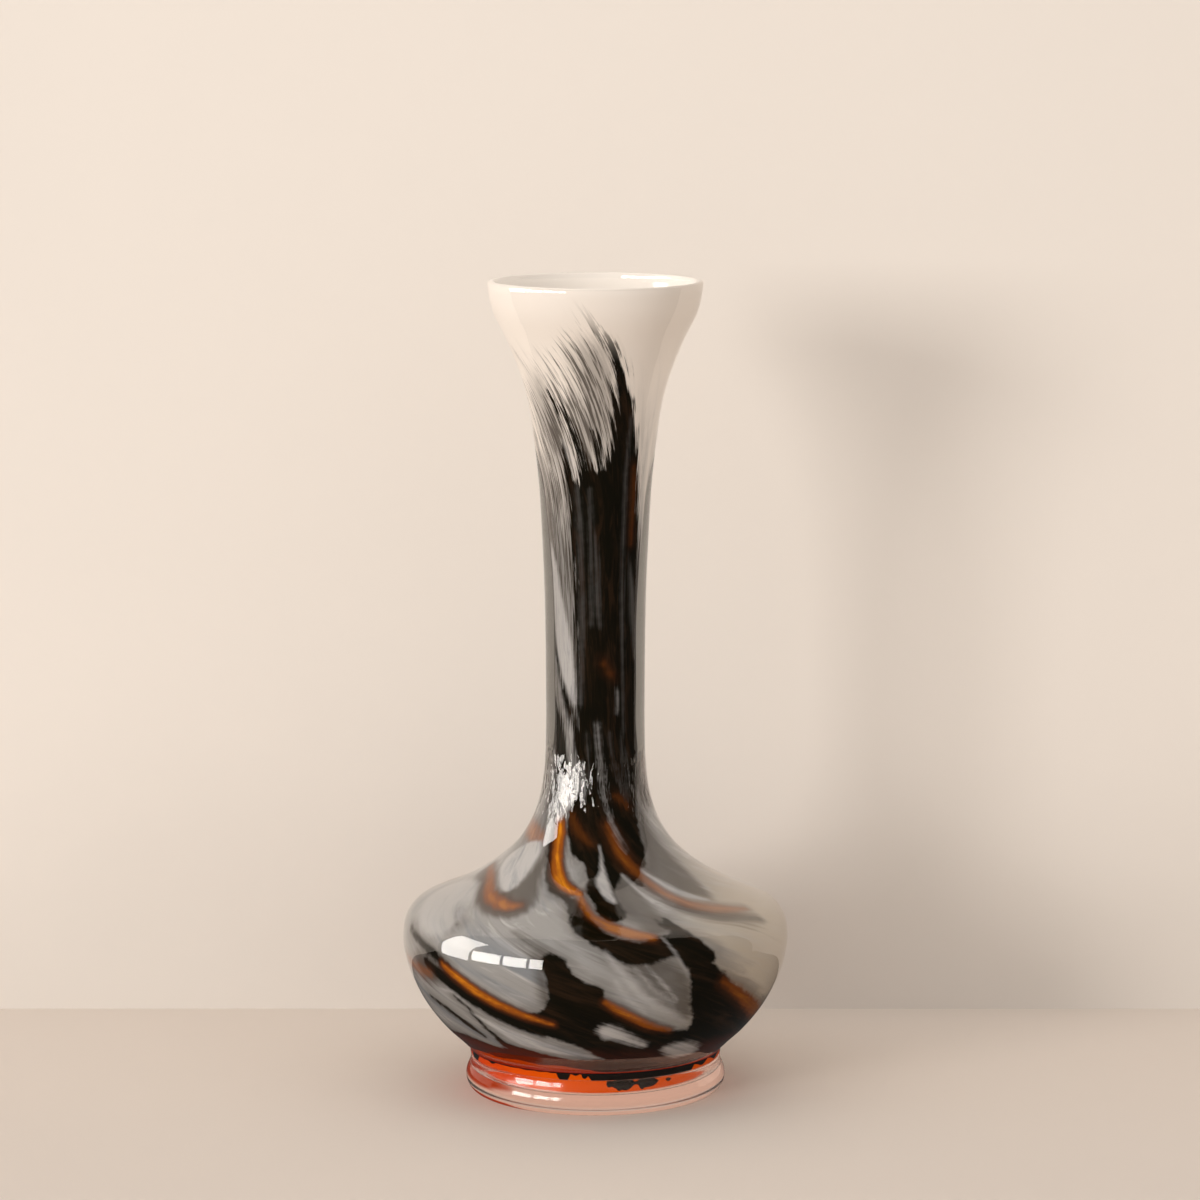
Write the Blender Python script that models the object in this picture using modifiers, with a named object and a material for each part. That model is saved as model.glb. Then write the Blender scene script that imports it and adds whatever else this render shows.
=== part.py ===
"""Hand blown art glass vase, standing on a clear foot.

The wall is three nested gathers: an opal lining, a marbled colour layer and a thick clear casing. They swell
into a squat belly, draw in to a long neck and open into a flared lip. The foot is a clear disc that holds an
orange core with a black skirt round its upper edge.

Frame: metres, +Z up along the axis of turning, origin at the centre of the circle the foot stands on.
"""

from math import cos, hypot, pi, sin, sqrt

import bpy

MM = 0.001

# Driving dimensions of the outside
HEIGHT = 300.0 * MM
LIP_RADIUS = 39.4 * MM
NECK_RADIUS = 18.2 * MM
NECK_TOP = 150.0 * MM  # the neck is straight between these two heights
NECK_BOTTOM = 135.0 * MM
BELLY_RADIUS = 71.2 * MM
BELLY_HEIGHT = 58.0 * MM
WAIST_RADIUS = 46.0 * MM  # where the belly meets the foot
FOOT_HEIGHT = 13.0 * MM
FOOT_RADIUS = 48.1 * MM
FOOT_EDGE_HEIGHT = 5.5 * MM  # height at which the foot is widest

# Glass thicknesses
CASING_AT_LIP = 0.9 * MM
CASING_AT_NECK = 8.0 * MM
CASING_AT_BELLY = 3.2 * MM
CASING_AT_BASE = 4.5 * MM
COLOUR_THICKNESS = 0.6 * MM
LINING_THICKNESS = 1.0 * MM
CLEARANCE = 0.3 * MM  # between neighbouring gathers

# Foot
CORE_WALL = 4.2 * MM  # clear glass outside the recess, at the top of the foot
CORE_DEPTH = 5.4 * MM
SKIRT_THICKNESS = 0.9 * MM
SKIRT_DEPTH = 3.0 * MM
STANDING_RADIUS = 44.0 * MM
STANDING_WIDTH = 5.0 * MM  # flat ground ring that touches the table
KICK_UP = 1.4 * MM  # rise of the hollow under the foot

SEGMENTS = 32
STEPS_PER_SPAN = 1

# How far up (0 to 1) and how far out (0 to 1) each sweep has gone, from its narrow end to its wide end
FLARE = ((0.34, 0.047), (0.576, 0.162), (0.746, 0.355), (0.868, 0.674), (0.94, 0.915), (0.975, 0.99))
SHOULDER = ((0.2, 0.012), (0.33, 0.042), (0.455, 0.111), (0.545, 0.195), (0.623, 0.312), (0.69, 0.442),
            (0.76, 0.625), (0.818, 0.818), (0.857, 0.926), (0.9, 0.972))
UNDERSIDE = ((0.944, 0.98), (0.867, 0.857), (0.733, 0.604), (0.489, 0.275), (0.222, 0.061))


def blend(t):
    """Goes from 0 to 1 with level ends as t does."""
    t = min(max(t, 0.0), 1.0)
    return t * t * (3.0 - 2.0 * t)


def outline():
    """Outside of the casing, from the lip down to the waist, as (radius, height)."""
    lip_height = HEIGHT - CASING_AT_LIP - 2.0 * CLEARANCE
    points = [(LIP_RADIUS, lip_height)]
    for up, out in reversed(FLARE):
        points.append((NECK_RADIUS + out * (LIP_RADIUS - NECK_RADIUS), NECK_TOP + up * (lip_height - NECK_TOP)))
    points.append((NECK_RADIUS, NECK_TOP))
    points.append((NECK_RADIUS, NECK_BOTTOM))
    for down, out in SHOULDER:
        points.append((NECK_RADIUS + out * (BELLY_RADIUS - NECK_RADIUS),
                       NECK_BOTTOM - down * (NECK_BOTTOM - BELLY_HEIGHT)))
    points.append((BELLY_RADIUS, BELLY_HEIGHT))
    for down, inward in reversed(UNDERSIDE):
        points.append((BELLY_RADIUS - inward * (BELLY_RADIUS - WAIST_RADIUS),
                       BELLY_HEIGHT - down * (BELLY_HEIGHT - FOOT_HEIGHT)))
    points.append((WAIST_RADIUS, FOOT_HEIGHT))
    return points


def casing_thickness(height):
    """Thickness of the clear casing: thin at the lip, thick where the neck was drawn in, even round the belly."""
    full_neck = NECK_TOP + 0.45 * (HEIGHT - NECK_TOP)
    shoulder_height = BELLY_HEIGHT + 0.25 * (NECK_BOTTOM - BELLY_HEIGHT)
    if height > full_neck:
        return CASING_AT_NECK + (CASING_AT_LIP - CASING_AT_NECK) * blend((height - full_neck) / (HEIGHT - full_neck))
    if height < NECK_BOTTOM:
        part_way = blend((NECK_BOTTOM - height) / (NECK_BOTTOM - shoulder_height))
        return CASING_AT_NECK + (CASING_AT_BELLY - CASING_AT_NECK) * part_way
    return CASING_AT_NECK


def tangents(points, first, last):
    """Direction of the curve at each point, from its neighbours; first and last are given."""
    found = [first]
    for before, here, after in zip(points, points[1:], points[2:]):
        back = hypot(here[0] - before[0], here[1] - before[1])
        ahead = hypot(after[0] - here[0], after[1] - here[1])
        x = (here[0] - before[0]) / back * ahead + (after[0] - here[0]) / ahead * back
        z = (here[1] - before[1]) / back * ahead + (after[1] - here[1]) / ahead * back
        length = hypot(x, z)
        found.append((x / length, z / length))
    found.append(last)
    return found


def smooth(points, first, last, steps):
    """Cubic curve through the points, with the given directions at its ends."""
    directions = tangents(points, first, last)
    curve = []
    for start, end, leave, arrive in zip(points, points[1:], directions, directions[1:]):
        span = hypot(end[0] - start[0], end[1] - start[1])
        for step in range(steps):
            t = step / steps
            curve.append(tuple(
                (1 + 2 * t) * (1 - t) ** 2 * start[k] + t * (1 - t) ** 2 * span * leave[k]
                + t * t * (3 - 2 * t) * end[k] - t * t * (1 - t) * span * arrive[k]
                for k in range(2)))
    curve.append(points[-1])
    return curve


def moved_inward(points, first, last, thickness):
    """The curve moved towards the inside of the vase, square to itself, by thickness(height)."""
    moved = []
    for (radius, height), (dx, dz) in zip(points, tangents(points, first, last)):
        depth = thickness(height)
        moved.append((max(radius + dz * depth, 0.0), height - dx * depth))
    return moved


DOWN = (0.0, -1.0)
LEVEL = (-1.0, 0.0)


def colour_surface():
    """Outside of the colour layer: the casing's outline moved in, closed by a rounded floor at the axis."""
    outside = [point for point in outline() if point[1] > FOOT_HEIGHT + 0.25 * (BELLY_HEIGHT - FOOT_HEIGHT)]
    wall = moved_inward(outside, DOWN, tangents(outline(), DOWN, DOWN)[len(outside) - 1],
                        lambda height: casing_thickness(height) + CLEARANCE)
    floor = FOOT_HEIGHT + CASING_AT_BASE + CLEARANCE
    radius, height = wall[-1]
    for out, up in ((0.8, 0.34), (0.5, 0.07), (0.25, 0.012), (0.0, 0.0)):
        wall.append((out * radius, floor + up * (height - floor)))
    return smooth(wall, DOWN, LEVEL, STEPS_PER_SPAN)


def lip_arc(outer, inner, steps=4):
    """Rounded edge from the top of the inner wall over to the top of the outer wall."""
    centre = ((outer[0] + inner[0]) / 2, (outer[1] + inner[1]) / 2)
    radius = abs(outer[0] - inner[0]) / 2
    arc = []
    for step in range(1, steps):
        angle = pi - pi * step / steps
        arc.append((centre[0] + radius * cos(angle), centre[1] + radius * sin(angle)))
    return arc


def cup(outer, thickness, top):
    """Profile of an open cup: up the inside from the axis, over the lip at height top, and down the outside."""
    inner = moved_inward(outer, DOWN, LEVEL, lambda height: thickness)
    inner[-1] = (0.0, inner[-1][1])
    edge_height = top - thickness / 2
    outer_edge = (outer[0][0], edge_height)
    inner_edge = (inner[0][0], edge_height)
    return inner[:0:-1] + [inner_edge] + lip_arc(outer_edge, inner_edge) + [outer_edge] + outer[1:]


def glass(name, colour, alpha=1.0, transmission=0.0, roughness=0.05):
    """A glass material in one colour."""
    material = bpy.data.materials.new(name)
    material.use_nodes = True
    shader = material.node_tree.nodes["Principled BSDF"]
    shader.inputs["Base Color"].default_value = (*colour, 1.0)
    shader.inputs["Metallic"].default_value = 0.0
    shader.inputs["Roughness"].default_value = roughness
    shader.inputs["IOR"].default_value = 1.5
    shader.inputs["Transmission Weight"].default_value = transmission
    shader.inputs["Alpha"].default_value = alpha
    material.diffuse_color = (*colour, alpha)
    return material


def turned(name, profile, material, collection):
    """A solid of revolution about +Z from a profile of (radius, height) that runs down its outer side."""
    closed = profile[0][0] > 0.0
    count = len(profile)
    edges = [(i, i + 1) for i in range(count - 1)]
    if closed:
        edges.append((count - 1, 0))
    mesh = bpy.data.meshes.new(name)
    mesh.from_pydata([(radius, 0.0, height) for radius, height in profile], edges, [])
    mesh.materials.append(material)
    piece = bpy.data.objects.new(name, mesh)
    collection.objects.link(piece)
    screw = piece.modifiers.new("turn", "SCREW")
    screw.axis = "Z"
    screw.angle = 2.0 * pi
    screw.steps = SEGMENTS
    screw.render_steps = SEGMENTS
    screw.use_merge_vertices = True
    screw.merge_threshold = 0.00001
    screw.use_smooth_shade = True
    return piece


def opal_lining(colour_outside, collection):
    """White opal gather that the vase was blown from. It is the inside of the mouth, neck and belly."""
    outer = moved_inward(colour_outside, DOWN, LEVEL, lambda height: COLOUR_THICKNESS + CLEARANCE)
    outer[-1] = (0.0, outer[-1][1])
    profile = cup(outer, LINING_THICKNESS, HEIGHT)
    return turned("opal_lining", profile, glass("opal_glass", (0.86, 0.82, 0.76), roughness=0.12), collection)


def marbled_layer(colour_outside, collection):
    """Thin layer of black, amber and grey glass over the lining."""
    profile = cup(colour_outside, COLOUR_THICKNESS, HEIGHT - CLEARANCE)
    return turned("marbled_layer", profile, glass("marbled_glass", (0.10, 0.06, 0.03), roughness=0.1), collection)


def clear_casing(colour_outside, collection):
    """Outer clear gather, which gives the vase its outline and stands on the foot."""
    outside = smooth(outline(), DOWN, DOWN, STEPS_PER_SPAN)
    inside = moved_inward(colour_outside, DOWN, LEVEL, lambda height: -CLEARANCE)
    inside[-1] = (0.0, inside[-1][1])
    edge_height = HEIGHT - CASING_AT_LIP / 2 - 2.0 * CLEARANCE
    outer_edge = (outside[0][0], edge_height)
    inner_edge = (inside[0][0], edge_height)
    profile = (inside[:0:-1] + [inner_edge] + lip_arc(outer_edge, inner_edge) + [outer_edge]
               + outside[1:] + [(0.0, FOOT_HEIGHT)])
    material = glass("clear_glass", (0.93, 0.93, 0.90), alpha=0.35, transmission=1.0, roughness=0.02)
    return turned("clear_casing", profile, material, collection)


def recess_radius():
    """Radius of the recess in the top of the foot."""
    return WAIST_RADIUS - CORE_WALL


def foot_top():
    """Height of the foot's top face, just under the belly."""
    return FOOT_HEIGHT - CLEARANCE


def black_skirt(collection):
    """Black glass that ran down from the belly and rings the top of the orange core."""
    outer = recess_radius() - CLEARANCE
    inner = outer - SKIRT_THICKNESS
    low = foot_top() - SKIRT_DEPTH
    profile = [(outer, foot_top()), (outer, low), (inner, low), (inner, foot_top())]
    return turned("black_skirt", profile, glass("black_glass", (0.012, 0.008, 0.006), roughness=0.08), collection)


def orange_core(collection):
    """Orange disc sunk in the foot."""
    radius = recess_radius() - CLEARANCE - SKIRT_THICKNESS - CLEARANCE
    low = foot_top() - CORE_DEPTH
    edge = 0.8 * MM
    profile = [(0.0, foot_top()), (radius, foot_top())]
    for step in range(4):
        angle = 0.5 * pi * step / 3
        profile.append((radius - edge + edge * cos(angle), low + edge - edge * sin(angle)))
    profile.append((0.0, low))
    return turned("orange_core", profile, glass("orange_glass", (0.65, 0.10, 0.004), roughness=0.1), collection)


def clear_foot(collection):
    """Clear disc under the belly: recessed on top for the core, hollowed below, ground flat where it stands."""
    recess_floor = foot_top() - CORE_DEPTH - CLEARANCE
    recess = recess_radius()
    profile = [(0.0, recess_floor), (recess, recess_floor), (recess, foot_top()), (WAIST_RADIUS, foot_top())]
    for t in (0.3, 0.6, 0.85):
        profile.append((WAIST_RADIUS + blend(t) * (FOOT_RADIUS - WAIST_RADIUS),
                        foot_top() - t * (foot_top() - FOOT_EDGE_HEIGHT)))
    edge_spread = FOOT_RADIUS - STANDING_RADIUS
    for step in range(6):
        angle = 0.5 * pi * step / 5
        profile.append((STANDING_RADIUS + edge_spread * cos(angle), FOOT_EDGE_HEIGHT * (1.0 - sin(angle))))
    hollow = STANDING_RADIUS - STANDING_WIDTH
    for t in (0.0, 0.3, 0.65):
        profile.append((hollow * (1.0 - t), KICK_UP * sqrt(1.0 - (1.0 - t) ** 2)))
    profile.append((0.0, KICK_UP))
    material = glass("foot_glass", (0.92, 0.80, 0.76), alpha=0.35, transmission=1.0, roughness=0.02)
    return turned("clear_foot", profile, material, collection)


def build():
    """Makes the whole vase in one collection."""
    for old in list(bpy.data.objects):
        bpy.data.objects.remove(old, do_unlink=True)
    collection = bpy.data.collections.new("art_glass_vase")
    bpy.context.scene.collection.children.link(collection)
    colour_outside = colour_surface()
    opal_lining(colour_outside, collection)
    marbled_layer(colour_outside, collection)
    clear_casing(colour_outside, collection)
    black_skirt(collection)
    orange_core(collection)
    clear_foot(collection)


build()
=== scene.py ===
"""Looks of a hand blown art glass vase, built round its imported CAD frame.

The vase is layers of glass: an opal lining, marbled colour over it and a thick clear casing outside, on a
clear foot that holds an orange core. The colour is looked at through the casing, so the casing is real glass
that bends what is behind it. The swirls are strokes laid on the colour layer, each a path of (azimuth, reach)
points: azimuth in degrees from the front, positive to the right, and reach in millimetres down the wall from
the lip.
"""

import logging
import math
from dataclasses import dataclass, replace
from enum import Enum
from typing import Callable, Iterable, Union

import bpy
import numpy as np
from mathutils import Euler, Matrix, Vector


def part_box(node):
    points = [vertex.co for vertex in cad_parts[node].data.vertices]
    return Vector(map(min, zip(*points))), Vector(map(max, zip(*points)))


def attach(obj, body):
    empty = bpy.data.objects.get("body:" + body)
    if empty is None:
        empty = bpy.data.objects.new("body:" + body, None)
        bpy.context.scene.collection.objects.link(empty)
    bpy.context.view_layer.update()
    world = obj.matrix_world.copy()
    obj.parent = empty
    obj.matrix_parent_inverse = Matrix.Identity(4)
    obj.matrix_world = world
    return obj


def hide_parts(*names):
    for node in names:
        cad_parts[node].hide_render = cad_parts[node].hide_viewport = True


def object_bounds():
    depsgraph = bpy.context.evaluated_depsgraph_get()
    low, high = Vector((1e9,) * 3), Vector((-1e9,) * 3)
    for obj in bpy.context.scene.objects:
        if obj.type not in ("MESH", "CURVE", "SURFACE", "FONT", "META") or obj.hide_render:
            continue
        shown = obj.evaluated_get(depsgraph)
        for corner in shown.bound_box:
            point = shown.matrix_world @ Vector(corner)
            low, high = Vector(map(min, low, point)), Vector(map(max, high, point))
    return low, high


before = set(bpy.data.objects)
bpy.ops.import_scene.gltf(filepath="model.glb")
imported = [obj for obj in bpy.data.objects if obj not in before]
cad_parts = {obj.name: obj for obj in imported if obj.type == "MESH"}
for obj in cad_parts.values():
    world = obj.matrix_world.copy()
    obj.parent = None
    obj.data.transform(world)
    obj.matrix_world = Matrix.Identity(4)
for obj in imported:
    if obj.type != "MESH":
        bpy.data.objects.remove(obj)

CAD_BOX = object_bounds()
MM = 0.001
DOWN = (0.0, -1.0)
LEVEL = (-1.0, 0.0)
Colour = tuple[float, float, float]

logging.basicConfig(level=logging.INFO, format="%(message)s")
log = logging.getLogger("vase")


# ---------------------------------------------------------------- shader tools


class Value:
    """A number that changes over a surface: wraps a socket, and builds Math nodes when used in arithmetic."""

    def __init__(self, shader: "Shader", socket: bpy.types.NodeSocket) -> None:
        """Wraps one output socket of a shader's tree."""
        self.shader = shader
        self.socket = socket

    def _math(self, operation: str, first: "Number", second: "Number") -> "Value":
        """Adds one Math node and returns its result."""
        node = self.shader.node("ShaderNodeMath", {"operation": operation}, {0: first, 1: second})
        return Value(self.shader, node.outputs[0])

    def __add__(self, other: "Number") -> "Value":
        """self + other."""
        return self._math("ADD", self, other)

    def __radd__(self, other: "Number") -> "Value":
        """other + self."""
        return self._math("ADD", other, self)

    def __sub__(self, other: "Number") -> "Value":
        """self - other."""
        return self._math("SUBTRACT", self, other)

    def __rsub__(self, other: "Number") -> "Value":
        """other - self."""
        return self._math("SUBTRACT", other, self)

    def __mul__(self, other: "Number") -> "Value":
        """self * other."""
        return self._math("MULTIPLY", self, other)

    def __rmul__(self, other: "Number") -> "Value":
        """other * self."""
        return self._math("MULTIPLY", other, self)

    def step(self, low: float, high: float) -> "Value":
        """Rises smoothly from 0 to 1 as this value goes from low to high.

        Args:
            low: where the rise starts.
            high: where it ends.

        Returns:
            The rise, between 0 and 1.
        """
        node = self.shader.node(
            "ShaderNodeMapRange", {"interpolation_type": "SMOOTHSTEP"},
            {"Value": self, "From Min": low, "From Max": high, "To Min": 0.0, "To Max": 1.0})
        return Value(self.shader, node.outputs["Result"])


Number = Union[float, Value]


class Shader:
    """A material and the tools to build its node tree."""

    def __init__(self, name: str) -> None:
        """Starts an empty material with that name."""
        self.material = bpy.data.materials.new(name)
        self.material.use_nodes = True
        self.tree = self.material.node_tree
        self.tree.nodes.clear()

    def node(self, kind: str, settings: dict | None = None, inputs: dict | None = None) -> bpy.types.Node:
        """Adds a node.

        Args:
            kind: the node's type.
            settings: properties of the node, set before its inputs.
            inputs: socket name or index to a number, a colour, a socket or a Value.

        Returns:
            The new node.
        """
        node = self.tree.nodes.new(kind)
        for key, value in (settings or {}).items():
            setattr(node, key, value)
        for key, value in (inputs or {}).items():
            socket = node.inputs[key]
            if isinstance(value, Value):
                value = value.socket
            if isinstance(value, bpy.types.NodeSocket):
                self.tree.links.new(value, socket)
            elif isinstance(value, tuple) and socket.type == "RGBA":
                socket.default_value = (*value, 1.0)
            else:
                socket.default_value = value
        return node

    def attribute(self, name: str) -> Value:
        """A number stored on the mesh."""
        return Value(self, self.node("ShaderNodeAttribute", {"attribute_name": name}).outputs["Fac"])

    def vector_attribute(self, name: str) -> bpy.types.NodeSocket:
        """A vector stored on the mesh."""
        return self.node("ShaderNodeAttribute", {"attribute_name": name}).outputs["Vector"]

    def place(self) -> bpy.types.NodeSocket:
        """Object coordinates, in metres."""
        return self.node("ShaderNodeTexCoord").outputs["Object"]

    def part(self, vector: bpy.types.NodeSocket, axis: int) -> Value:
        """One coordinate of a vector."""
        return Value(self, self.node("ShaderNodeSeparateXYZ", None, {0: vector}).outputs[axis])

    def noise(self, vector: bpy.types.NodeSocket, scale: tuple[float, float, float], detail: float = 3.0,
              roughness: float = 0.5, distortion: float = 0.0, offset: float = 0.0) -> Value:
        """Noise about 0.5 over a vector stretched by scale.

        Args:
            vector: where to read the noise.
            scale: cycles per unit along each axis of the vector.
            detail: octaves.
            roughness: weight of the finer octaves.
            distortion: how far the noise is warped.
            offset: moves to another stretch of the noise.

        Returns:
            The noise.
        """
        mapped = self.node("ShaderNodeMapping", {"vector_type": "POINT"},
                           {"Vector": vector, "Scale": scale,
                            "Location": (offset, 0.7 * offset, 0.3 * offset)})
        node = self.node("ShaderNodeTexNoise", {"noise_dimensions": "3D"},
                         {"Vector": mapped.outputs[0], "Scale": 1.0, "Detail": detail, "Roughness": roughness,
                          "Distortion": distortion})
        return Value(self, node.outputs["Fac"])

    def mix(self, first, second, share: Number) -> bpy.types.NodeSocket:
        """Colour that goes from first to second as share goes from 0 to 1."""
        node = self.node("ShaderNodeMix", {"data_type": "RGBA"}, {"Factor": share, 6: first, 7: second})
        return node.outputs[2]

    def surface(self, shader_socket: bpy.types.NodeSocket) -> bpy.types.Material:
        """Connects the finished surface and returns the material."""
        self.node("ShaderNodeOutputMaterial", None, {"Surface": shader_socket})
        return self.material


# ---------------------------------------------------------------- turned shapes


Profile = list[tuple[float, float]]


def half_section(node: str) -> Profile:
    """Outline of a turned CAD node where it crosses the +X half plane.

    Args:
        node: the CAD node's name.

    Returns:
        Its (radius, height) points in order, from the axis or from its lowest point back to the start.
    """
    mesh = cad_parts[node].data
    places = np.empty(len(mesh.vertices) * 3, np.float32)
    mesh.vertices.foreach_get("co", places)
    places = places.reshape(-1, 3)
    tiny = 0.000002
    on_plane = np.flatnonzero((np.abs(places[:, 1]) < tiny) & (places[:, 0] > -tiny))
    points = {int(i): (round(float(places[i, 0]), 6), round(float(places[i, 2]), 6)) for i in on_plane}
    links: dict[tuple[float, float], set[tuple[float, float]]] = {}
    for edge in mesh.edges:
        a, b = edge.vertices
        if a in points and b in points and points[a] != points[b]:
            links.setdefault(points[a], set()).add(points[b])
            links.setdefault(points[b], set()).add(points[a])
    start = min(links, key=lambda p: (len(links[p]), p[1]))
    chain, seen = [start], {start}
    while True:
        onward = [p for p in links[chain[-1]] if p not in seen]
        if not onward:
            return chain
        chain.append(onward[0])
        seen.add(onward[0])


def outer_wall(node: str) -> Profile:
    """Outside of a cup-shaped CAD node, from its lip's widest point down to the last one before the axis."""
    chain = half_section(node)
    top = max(range(len(chain)), key=lambda i: chain[i][1])
    sides = [chain[top::-1], chain[top:]]
    wall = max(sides, key=lambda side: max(p[0] for p in side))
    lip = [i for i, p in enumerate(wall) if p[1] > 0.97 * wall[0][1]]
    return wall[max(lip, key=lambda i: wall[i][0]):]


def directions(points: Profile, first: tuple[float, float], last: tuple[float, float]) -> Profile:
    """Direction of a curve at each of its points, from their neighbours.

    Args:
        points: the curve's points.
        first: its direction at the first point.
        last: its direction at the last point.

    Returns:
        One unit vector for each point.
    """
    found = [first]
    for before, here, after in zip(points, points[1:], points[2:]):
        back = math.dist(before, here)
        ahead = math.dist(here, after)
        step = [(here[k] - before[k]) / back * ahead + (after[k] - here[k]) / ahead * back for k in range(2)]
        length = math.hypot(*step)
        found.append((step[0] / length, step[1] / length))
    found.append(last)
    return found


def smooth(points: Profile, first: tuple[float, float], last: tuple[float, float],
           spacing: Callable[[float], float]) -> Profile:
    """Cubic curve through points.

    Args:
        points: what it goes through.
        first: its direction at the first point.
        last: its direction at the last point.
        spacing: the distance wanted between its points at a given height.

    Returns:
        The curve's points.
    """
    ways = directions(points, first, last)
    curve = []
    for start, end, leave, arrive in zip(points, points[1:], ways, ways[1:]):
        span = math.dist(start, end)
        steps = max(1, round(span / spacing((start[1] + end[1]) / 2)))
        for step in range(steps):
            t = step / steps
            curve.append(tuple(
                (1 + 2 * t) * (1 - t) ** 2 * start[k] + t * (1 - t) ** 2 * span * leave[k]
                + t * t * (3 - 2 * t) * end[k] - t * t * (1 - t) * span * arrive[k]
                for k in range(2)))
    curve.append(points[-1])
    return curve


def moved_inward(points: Profile, depth: float, first: tuple[float, float] = DOWN,
                 last: tuple[float, float] = LEVEL) -> Profile:
    """The curve moved towards the inside of the vase by depth, square to itself."""
    return [(max(r + way[1] * depth, 0.0), z - way[0] * depth)
            for (r, z), way in zip(points, directions(points, first, last))]


def round_edge(start: tuple[float, float], end: tuple[float, float], steps: int = 10) -> Profile:
    """Half circle in the section from start over the top to end, without its two ends."""
    centre = ((start[0] + end[0]) / 2, (start[1] + end[1]) / 2)
    across = math.dist(start, end) / 2
    lean = math.atan2(start[1] - centre[1], start[0] - centre[0])
    sign = -1.0 if start[0] < end[0] else 1.0
    return [(centre[0] + across * math.cos(lean + sign * math.pi * i / steps),
             centre[1] + across * math.sin(lean + sign * math.pi * i / steps)) for i in range(1, steps)]


class Lathe:
    """Geometry Nodes tree that turns a chain of vertices in the XZ plane about +Z into a closed mesh."""

    def __init__(self) -> None:
        """Builds the tree."""
        self.tree = bpy.data.node_groups.new("lathe", "GeometryNodeTree")
        face = self.tree.interface
        face.new_socket("Profile", in_out="INPUT", socket_type="NodeSocketGeometry")
        self.segments = face.new_socket("Segments", in_out="INPUT", socket_type="NodeSocketInt").identifier
        self.material = face.new_socket("Glass", in_out="INPUT", socket_type="NodeSocketMaterial").identifier
        face.new_socket("Turned", in_out="OUTPUT", socket_type="NodeSocketGeometry")
        given = self._node("NodeGroupInput")
        count = self._node("GeometryNodeAttributeDomainSize", {"component": "MESH"},
                           {"Geometry": given.outputs[0]})
        around = self._maths("ADD", given.outputs[1], 1.0)
        grid = self._node("GeometryNodeMeshGrid", None,
                          {"Size X": 1.0, "Size Y": 1.0, "Vertices X": around,
                           "Vertices Y": count.outputs["Point Count"]})
        place = self._node("GeometryNodeInputPosition")
        apart = self._node("ShaderNodeSeparateXYZ", None, {0: place.outputs[0]})
        angle = self._maths("MULTIPLY", self._maths("ADD", apart.outputs[0], 0.5), 2.0 * math.pi)
        last = self._maths("SUBTRACT", count.outputs["Point Count"], 1.0)
        ring = self._maths(
            "ROUND", self._maths("MULTIPLY", self._maths("ADD", apart.outputs[1], 0.5), last), 0.0)
        stored = self._node("GeometryNodeStoreNamedAttribute", {"data_type": "FLOAT", "domain": "POINT"},
                            {"Geometry": grid.outputs["Mesh"], "Name": "ring", "Value": ring})
        sample = self._node("GeometryNodeSampleIndex", {"data_type": "FLOAT_VECTOR", "domain": "POINT"},
                            {"Geometry": given.outputs[0], "Value": place.outputs[0], "Index": ring})
        section = self._node("ShaderNodeSeparateXYZ", None, {0: sample.outputs[0]})
        turned = self._node("ShaderNodeCombineXYZ", None, {
            0: self._maths("MULTIPLY", section.outputs[0], self._maths("COSINE", angle, 0.0)),
            1: self._maths("MULTIPLY", section.outputs[0], self._maths("SINE", angle, 0.0)),
            2: section.outputs[2]})
        moved = self._node("GeometryNodeSetPosition", None,
                           {"Geometry": stored.outputs[0], "Position": turned.outputs[0]})
        merged = self._node("GeometryNodeMergeByDistance", None,
                            {"Geometry": moved.outputs[0], "Distance": 0.000001})
        shaded = self._node("GeometryNodeSetShadeSmooth", None, {"Geometry": merged.outputs[0]})
        real = self._node("GeometryNodeRealizeInstances", None, {"Geometry": shaded.outputs[0]})
        dressed = self._node("GeometryNodeSetMaterial", None,
                             {"Geometry": real.outputs[0], "Material": given.outputs[2]})
        self._node("NodeGroupOutput", None, {0: dressed.outputs[0]})

    def _node(self, kind: str, settings: dict | None = None, inputs: dict | None = None) -> bpy.types.Node:
        """Adds a node, sets its properties and then its inputs, and returns it."""
        node = self.tree.nodes.new(kind)
        for key, value in (settings or {}).items():
            setattr(node, key, value)
        for key, value in (inputs or {}).items():
            if isinstance(value, bpy.types.NodeSocket):
                self.tree.links.new(value, node.inputs[key])
            else:
                node.inputs[key].default_value = value
        return node

    def _maths(self, operation: str, first, second) -> bpy.types.NodeSocket:
        """Adds a Math node and returns its output."""
        return self._node("ShaderNodeMath", {"operation": operation}, {0: first, 1: second}).outputs[0]

    def turn(self, name: str, profile: Profile, segments: int,
             material: bpy.types.Material) -> bpy.types.Object:
        """Turns a profile into a piece.

        Args:
            name: the piece's name.
            profile: (radius, height) points, the inside first and the outside down last.
            segments: steps round the axis.
            material: the piece's glass.

        Returns:
            A plain mesh object, whose attribute "ring" says which profile point each vertex came from.
        """
        chain = bpy.data.meshes.new(name + "_profile")
        edges = [(i, i + 1) for i in range(len(profile) - 1)]
        chain.from_pydata([(r, 0.0, z) for r, z in profile], edges, [])
        maker = bpy.data.objects.new(name + "_maker", chain)
        bpy.context.scene.collection.objects.link(maker)
        modifier = maker.modifiers.new("turn", "NODES")
        modifier.node_group = self.tree
        modifier[self.segments] = segments
        modifier[self.material] = material
        shown = maker.evaluated_get(bpy.context.evaluated_depsgraph_get())
        mesh = bpy.data.meshes.new_from_object(shown)
        mesh.name = name
        if mesh_volume(mesh) < 0.0:
            mesh.flip_normals()
        piece = bpy.data.objects.new(name, mesh)
        bpy.context.scene.collection.objects.link(piece)
        bpy.data.objects.remove(maker, do_unlink=True)
        bpy.data.meshes.remove(chain)
        return piece


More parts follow.
